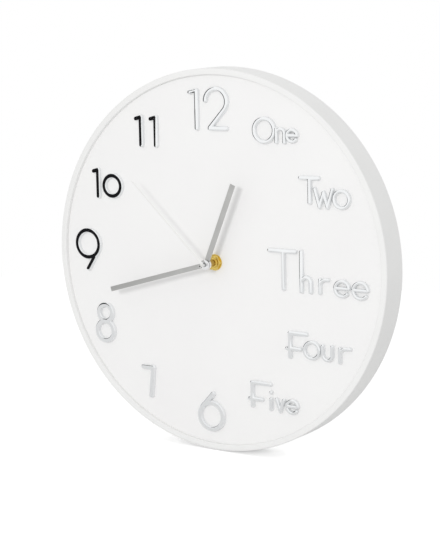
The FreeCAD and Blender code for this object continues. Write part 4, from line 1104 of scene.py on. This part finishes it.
@dataclass
class MovementBack:
    """What shows of the movement from behind: cover, screws, knob and cell.

    Attributes:
        corner: rounding of the cover's upright edges
        knob_radius: outer radius of the setting knob
        flutes: how many grips the knob has
        knob_hole: radius of the knob's bore
        shaft_hole: radius of the cover's hole for the shaft
        cover_gauge: thickness of the cover's back wall
        screw_spot: how far out and up each screw sits from the axis of the hands
        screw_head: radius of a screw's head
        screw_shank: radius of a screw's thread
        screw_height: how far a head stands behind the cover
        screw_depth: how far a thread reaches into the cover
        screw_gap: between a thread and its hole
        flute: radius of each grip's groove
        flute_offset: how far the grooves' middles lie outside the knob
    """

    corner: float = 3.0
    knob_radius: float = 6.5
    flutes: int = 24
    knob_hole: float = 1.12
    shaft_hole: float = 1.3
    cover_gauge: float = 1.2
    screw_spot: float = 24.6
    screw_head: float = 1.9
    screw_shank: float = 0.8
    screw_height: float = 1.2
    screw_depth: float = 1.0
    screw_gap: float = 0.1
    flute: float = 0.55
    flute_offset: float = 0.2

    def cover(self) -> None:
        """A plain moulded cover with holes for the setting shaft and the screws."""
        low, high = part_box("movement_cover")
        knob_low, knob_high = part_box("setting_knob")
        centre = (knob_low + knob_high) / 2
        half = high.x / MM
        front, back = high.y / MM - self.cover_gauge, high.y / MM
        foot, top = low.z / MM, high.z / MM
        plate = bmesh.new()
        verts = [plate.verts.new((across, front, up)) for across, up in
                 ((-half, foot), (half, foot), (half, top), (-half, top))]
        plate.faces.new(verts)
        bmesh.ops.bevel(plate, geom=verts[2:], offset=self.corner, offset_type="OFFSET",
                        segments=8, profile=0.5, affect="VERTICES", material=-1)
        thicken(plate, plate.faces[:], (0, back - front, 0))
        holes = [cutter(self.shaft_hole, (centre.x / MM, back, centre.z / MM), 32)]
        for across in (-self.screw_spot, self.screw_spot):
            holes.append(cutter(self.screw_shank + self.screw_gap,
                                (across, back, self.screw_spot), 32))
        mesh = combine(plate, holes, "DIFFERENCE")
        piece = deliver(mesh, "back_cover", "case", [BLACK_ABS], 30.0)
        break_edges(piece, "moulded_edge", 0.25)
        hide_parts("movement_cover")

    def knob(self) -> None:
        """A fluted knob with a rounded rim."""
        low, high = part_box("setting_knob")
        centre = (low + high) / 2 / MM
        front, back = low.y / MM, high.y / MM
        blank = bmesh.new()
        lathe(blank, [
            (self.knob_hole, front, 0.0),
            (self.knob_radius, front, 0.2),
            (self.knob_radius, back, 0.4),
            (self.knob_radius - 1.5, back, 0.2),
            (self.knob_radius - 2.0, back - 0.4, 0.2),
            (self.knob_hole, back - 0.4, 0.0),
        ], 96)
        grooves = []
        reach = self.knob_radius + self.flute_offset
        for index in range(self.flutes):
            angle = 2 * math.pi * index / self.flutes
            spot = (reach * math.cos(angle), (front + back) / 2, reach * math.sin(angle))
            grooves.append(cutter(self.flute, spot, 12))
        mesh = combine(blank, grooves, "DIFFERENCE")
        bmesh.ops.translate(mesh, vec=(centre.x, 0, centre.z), verts=mesh.verts)
        piece = deliver(mesh, "fluted_knob", "setting_knob", [BLACK_ABS], 30.0)
        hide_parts("setting_knob")

    def screws(self) -> None:
        """Two pan heads with a cross recess, seated on the cover."""
        cover_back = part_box("movement_cover")[1].y / MM
        crown = cover_back + self.screw_height
        mesh = bmesh.new()
        for side in (-1, 1):
            screw = bmesh.new()
            lathe(screw, [
                (0.0, crown, 0.0),
                (self.screw_head, crown, 0.5),
                (self.screw_head, cover_back, 0.0),
                (self.screw_shank, cover_back, 0.0),
                (self.screw_shank, cover_back - self.screw_depth, 0.2),
                (0.0, cover_back - self.screw_depth, 0.0),
            ], 40, closed=False)
            slots = []
            for across, up in ((1.1, 0.22), (0.22, 1.1)):
                slot = bmesh.new()
                bmesh.ops.create_cube(slot, size=2.0)
                bmesh.ops.scale(slot, vec=(across, 0.5, up), verts=slot.verts)
                bmesh.ops.translate(slot, vec=(0, crown, 0), verts=slot.verts)
                slots.append(slot)
            screw = combine(screw, slots, "DIFFERENCE")
            append(mesh, screw, Matrix.Translation((side * self.screw_spot, 0, self.screw_spot)))
        deliver(mesh, "cross_head_screws", "case", [ZINC_STEEL], 30.0)

    def cell(self) -> None:
        """The cell: plain sleeve, crimped ends and a button at the right."""
        low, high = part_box("battery_cell")
        half, radius = high.x / MM, (high.z - low.z) / MM / 2
        middle = (low + high) / 2 / MM
        mesh = bmesh.new()
        profile = [
            (0.0, -half, 0.0), (radius - 1.6, -half, 0.2), (radius - 1.2, -half + 0.5, 0.2),
            (radius - 0.4, -half + 0.5, 0.2), (radius, -half + 1.1, 0.3),
            (radius, half - 2.2, 0.4), (radius - 0.9, half - 1.7, 0.2),
            (2.7, half - 1.4, 0.2), (2.7, half, 0.4), (0.0, half, 0.0),
        ]
        lathe(mesh, profile, 72, closed=False)
        for face in mesh.faces:
            spread = max(math.hypot(v.co.x, v.co.z) for v in face.verts)
            face.material_index = 0 if spread > radius - 0.95 else 1
        lie = Matrix.Rotation(math.radians(-90), 4, "Z")
        bmesh.ops.transform(mesh, matrix=Matrix.Translation(middle) @ lie, verts=mesh.verts)
        piece = deliver(mesh, "dry_cell", "battery", [CELL_SLEEVE, CELL_END])
        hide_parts("battery_cell")

    def build(self) -> None:
        """Make everything that shows behind."""
        self.cover()
        self.knob()
        self.screws()
        self.cell()


@dataclass
class Studio:
    """White table, white surroundings, a dark sheet that only mirrors see as a painted reflection,
    one soft lamp and the camera.

    Attributes:
        eye: the camera's place in millimetres
        target: the point it looks at
        roll: how far the frame leans, in degrees
        lens: focal length on a 36 mm high frame
        lamp_from: direction that the soft lamp shines from
        lamp_distance: in metres
        lamp_size: edge of the square lamp, in metres
        lamp_power: in watts
        ambient: strength of the surroundings
        floor_glow: light that the table adds for the camera alone
        floor_white: how white the table is to the camera
        table_reach: from the middle of the table to its edges, in metres
        screen_near: (right, back) of the edge of the painted-reflection sheet next to the camera's
            side
        screen_far: (right, back) of its far edge
        screen_foot: height of its lower edge, on short feet, from the axis of the hands
        screen_top: height of its upper edge over the axis of the hands
    """

    eye: tuple[float, float, float] = (630.64, -967.66, 183.82)
    target: tuple[float, float, float] = (-1.53, 9.3, -7.67)
    roll: float = -0.979
    lens: float = 98.5
    lamp_from: tuple[float, float, float] = (0.146, -1.0, 0.31)
    lamp_distance: float = 2.0
    lamp_size: float = 0.4
    lamp_power: float = 9.6
    ambient: float = 0.77
    floor_glow: float = 0.4
    floor_white: float = 0.9
    table_reach: float = 0.72
    screen_near: tuple[float, float] = (-300.0, -362.0)
    screen_far: tuple[float, float] = (-900.0, 300.0)
    screen_foot: float = -104.0
    screen_top: float = 420.0

    def camera(self) -> None:
        """Stand the camera where the photograph was taken from."""
        data = bpy.data.cameras.new("camera")
        data.lens = self.lens
        data.sensor_width = 36.0
        data.sensor_fit = "AUTO"
        camera = bpy.data.objects.new("camera", data)
        bpy.context.scene.collection.objects.link(camera)
        eye, target = Vector(self.eye) * MM, Vector(self.target) * MM
        ahead = (target - eye).normalized()
        right = ahead.cross(Vector((0, 0, 1))).normalized()
        up = right.cross(ahead)
        lean = math.radians(self.roll)
        right_leaned = right * math.cos(lean) + up * math.sin(lean)
        up_leaned = up * math.cos(lean) - right * math.sin(lean)
        turn = Matrix((right_leaned, up_leaned, -ahead)).transposed().to_4x4()
        camera.matrix_world = Matrix.Translation(eye) @ turn
        bpy.context.scene.camera = camera

    def lamp(self) -> None:
        """A soft square lamp in front, a little high and right, which casts the shadows."""
        data = bpy.data.lights.new("soft_lamp", "AREA")
        data.shape = "SQUARE"
        data.size = self.lamp_size
        data.energy = self.lamp_power
        lamp = bpy.data.objects.new("soft_lamp", data)
        bpy.context.scene.collection.objects.link(lamp)
        place = Vector(self.lamp_from).normalized() * self.lamp_distance
        lamp.location = place
        lamp.rotation_euler = (-place).to_track_quat("-Z", "Y").to_euler()
        lamp.visible_glossy = False

    def floor(self) -> None:
        """A white table just under the ring, bright to the camera but still shaded."""
        mesh = bmesh.new()
        bmesh.ops.create_grid(mesh, x_segments=1, y_segments=1, size=self.table_reach)
        bmesh.ops.translate(mesh, vec=(0, 0, CAD_BOX[0][2]), verts=mesh.verts)
        data = bpy.data.meshes.new("table")
        mesh.to_mesh(data)
        mesh.free()
        table = bpy.data.objects.new("table", data)
        bpy.context.scene.collection.objects.link(table)
        material = bpy.data.materials.new("white_table_top")
        tree = empty_tree(material)
        path = add_node(tree, "ShaderNodeLightPath").outputs["Is Camera Ray"]
        plain = add_node(tree, "ShaderNodeBsdfDiffuse", {"Color": linear("F0F0F0")})
        shaded = add_node(tree, "ShaderNodeBsdfDiffuse", {
            "Color": (self.floor_white, self.floor_white, self.floor_white, 1.0)})
        glow = add_node(tree, "ShaderNodeEmission", {"Strength": self.floor_glow})
        seen = add_node(tree, "ShaderNodeAddShader", {
            0: shaded.outputs[0], 1: glow.outputs[0]})
        top = add_node(tree, "ShaderNodeMixShader", {
            0: path, 1: plain.outputs[0], 2: seen.outputs[0]})
        add_node(tree, "ShaderNodeOutputMaterial", {"Surface": top.outputs[0]})
        data.materials.append(material)

    def screen(self) -> None:
        """Painted reflection: a dark sheet at the front left that only glossy rays see; it glows
        near black, casts no shadow, lights nothing and puts dark reflections into the mirror
        letters.
        """
        mesh = bmesh.new()
        foot, near, far = self.screen_foot, self.screen_near, self.screen_far
        verts = [mesh.verts.new((*place, up)) for place, up in (
            (near, foot), (far, foot), (far, self.screen_top), (near, self.screen_top))]
        mesh.faces.new(verts)
        bmesh.ops.scale(mesh, vec=(MM, MM, MM), verts=mesh.verts)
        data = bpy.data.meshes.new("mirror_only_dark_sheet")
        mesh.to_mesh(data)
        mesh.free()
        screen = bpy.data.objects.new("mirror_only_dark_sheet", data)
        bpy.context.scene.collection.objects.link(screen)
        material = bpy.data.materials.new("painted_dark_reflection")
        tree = empty_tree(material)
        # painted reflection: near-black emission that only mirrors show
        painted_darkness = add_node(tree, "ShaderNodeEmission", {"Color": linear("1C1C1E")})
        add_node(tree, "ShaderNodeOutputMaterial", {"Surface": painted_darkness.outputs[0]})
        data.materials.append(material)
        for kind in ("camera", "diffuse", "transmission", "volume_scatter", "shadow"):
            setattr(screen, "visible_" + kind, False)

    def surroundings(self) -> None:
        """White walls all round, seen as white straight, in mirrors and through glass."""
        world = bpy.data.worlds.new("white_room")
        bpy.context.scene.world = world
        tree = empty_tree(world)
        rays = add_node(tree, "ShaderNodeLightPath")
        seen = add_node(tree, "ShaderNodeBackground", {"Color": (1, 1, 1, 1), "Strength": 1.0})
        lit = add_node(tree, "ShaderNodeBackground", {
            "Color": (1, 1, 1, 1), "Strength": self.ambient})
        direct = rays.outputs["Is Camera Ray"]
        for other in ("Is Glossy Ray", "Is Transmission Ray"):
            direct = add_node(tree, "ShaderNodeMath", {0: direct, 1: rays.outputs[other]},
                              operation="MAXIMUM").outputs[0]
        final = add_node(tree, "ShaderNodeMixShader", {
            0: direct, 1: lit.outputs[0], 2: seen.outputs[0]})
        add_node(tree, "ShaderNodeOutputWorld", {"Surface": final.outputs[0]})

    def build(self) -> None:
        """Set up camera, lamp, table, the dark painted-reflection sheet and surroundings."""
        self.camera()
        self.lamp()
        self.floor()
        self.screen()
        self.surroundings()
        bpy.context.scene.view_settings.view_transform = "Standard"


def dress_cad_nodes() -> None:
    """Give every CAD node that stays its own finish."""
    for node, finish in CAD_FINISHES.items():
        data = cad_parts[node].data
        data.materials.clear()
        data.materials.append(finish.make())
        LOG.info("%s: %s", node, finish.name)


def hands() -> list[Blade]:
    """The three hands, sized around the frame's own boxes."""
    hour, minute, second = (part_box(name) for name in ("hour_hand", "minute_hand", "second_hand"))
    hour_front, hour_back = hour[0].y / MM, hour[1].y / MM
    minute_front, minute_back = minute[0].y / MM, minute[1].y / MM
    tube_front, tube_back = second[0].y / MM, second[1].y / MM
    metal = {"slot": "hand_metal", "finish": HAND_METAL, "boss_finish": BOSS_METAL}
    white = {"slot": "hand_white", "finish": WHITE_ENAMEL, "boss_finish": WHITE_ENAMEL}
    return [
        Blade(node="hour_hand", body="hour_hand", angle=22.1, length=69.0, root=4.6, tip=4.8,
              front=hour_front, thickness=BLADE_GAUGE, hole=2.52, mouth=2.52, boss=4.0,
              boss_front=hour_front, boss_back=hour_back, **metal),
        Blade(node="minute_hand", body="minute_hand", angle=253.9, length=96.0, root=3.8, tip=4.0,
              front=minute_front, thickness=BLADE_GAUGE, hole=1.62, mouth=1.62, boss=4.0,
              boss_front=minute_front, boss_back=minute_back, **metal),
        Blade(node="second_hand", body="second_hand", angle=313.5, length=92.0, root=1.8, tip=1.0,
              front=-17.8, thickness=BLADE_GAUGE, hole=0.52, mouth=0.736, boss=1.0,
              boss_front=tube_front, boss_back=tube_back, **white),
    ]


def main() -> None:
    """Build the clock's looks in order and report each piece."""
    logging.basicConfig(level=logging.INFO, format="%(name)s %(message)s")
    dress_cad_nodes()
    CaseMoulding().build()
    HourMarkers().build()
    HourWords().build()
    for hand in hands():
        hand.build()
    Hub().build()
    Hanger().build()
    MovementBack().build()
    Studio().build()


if __name__ == "__main__":
    main()
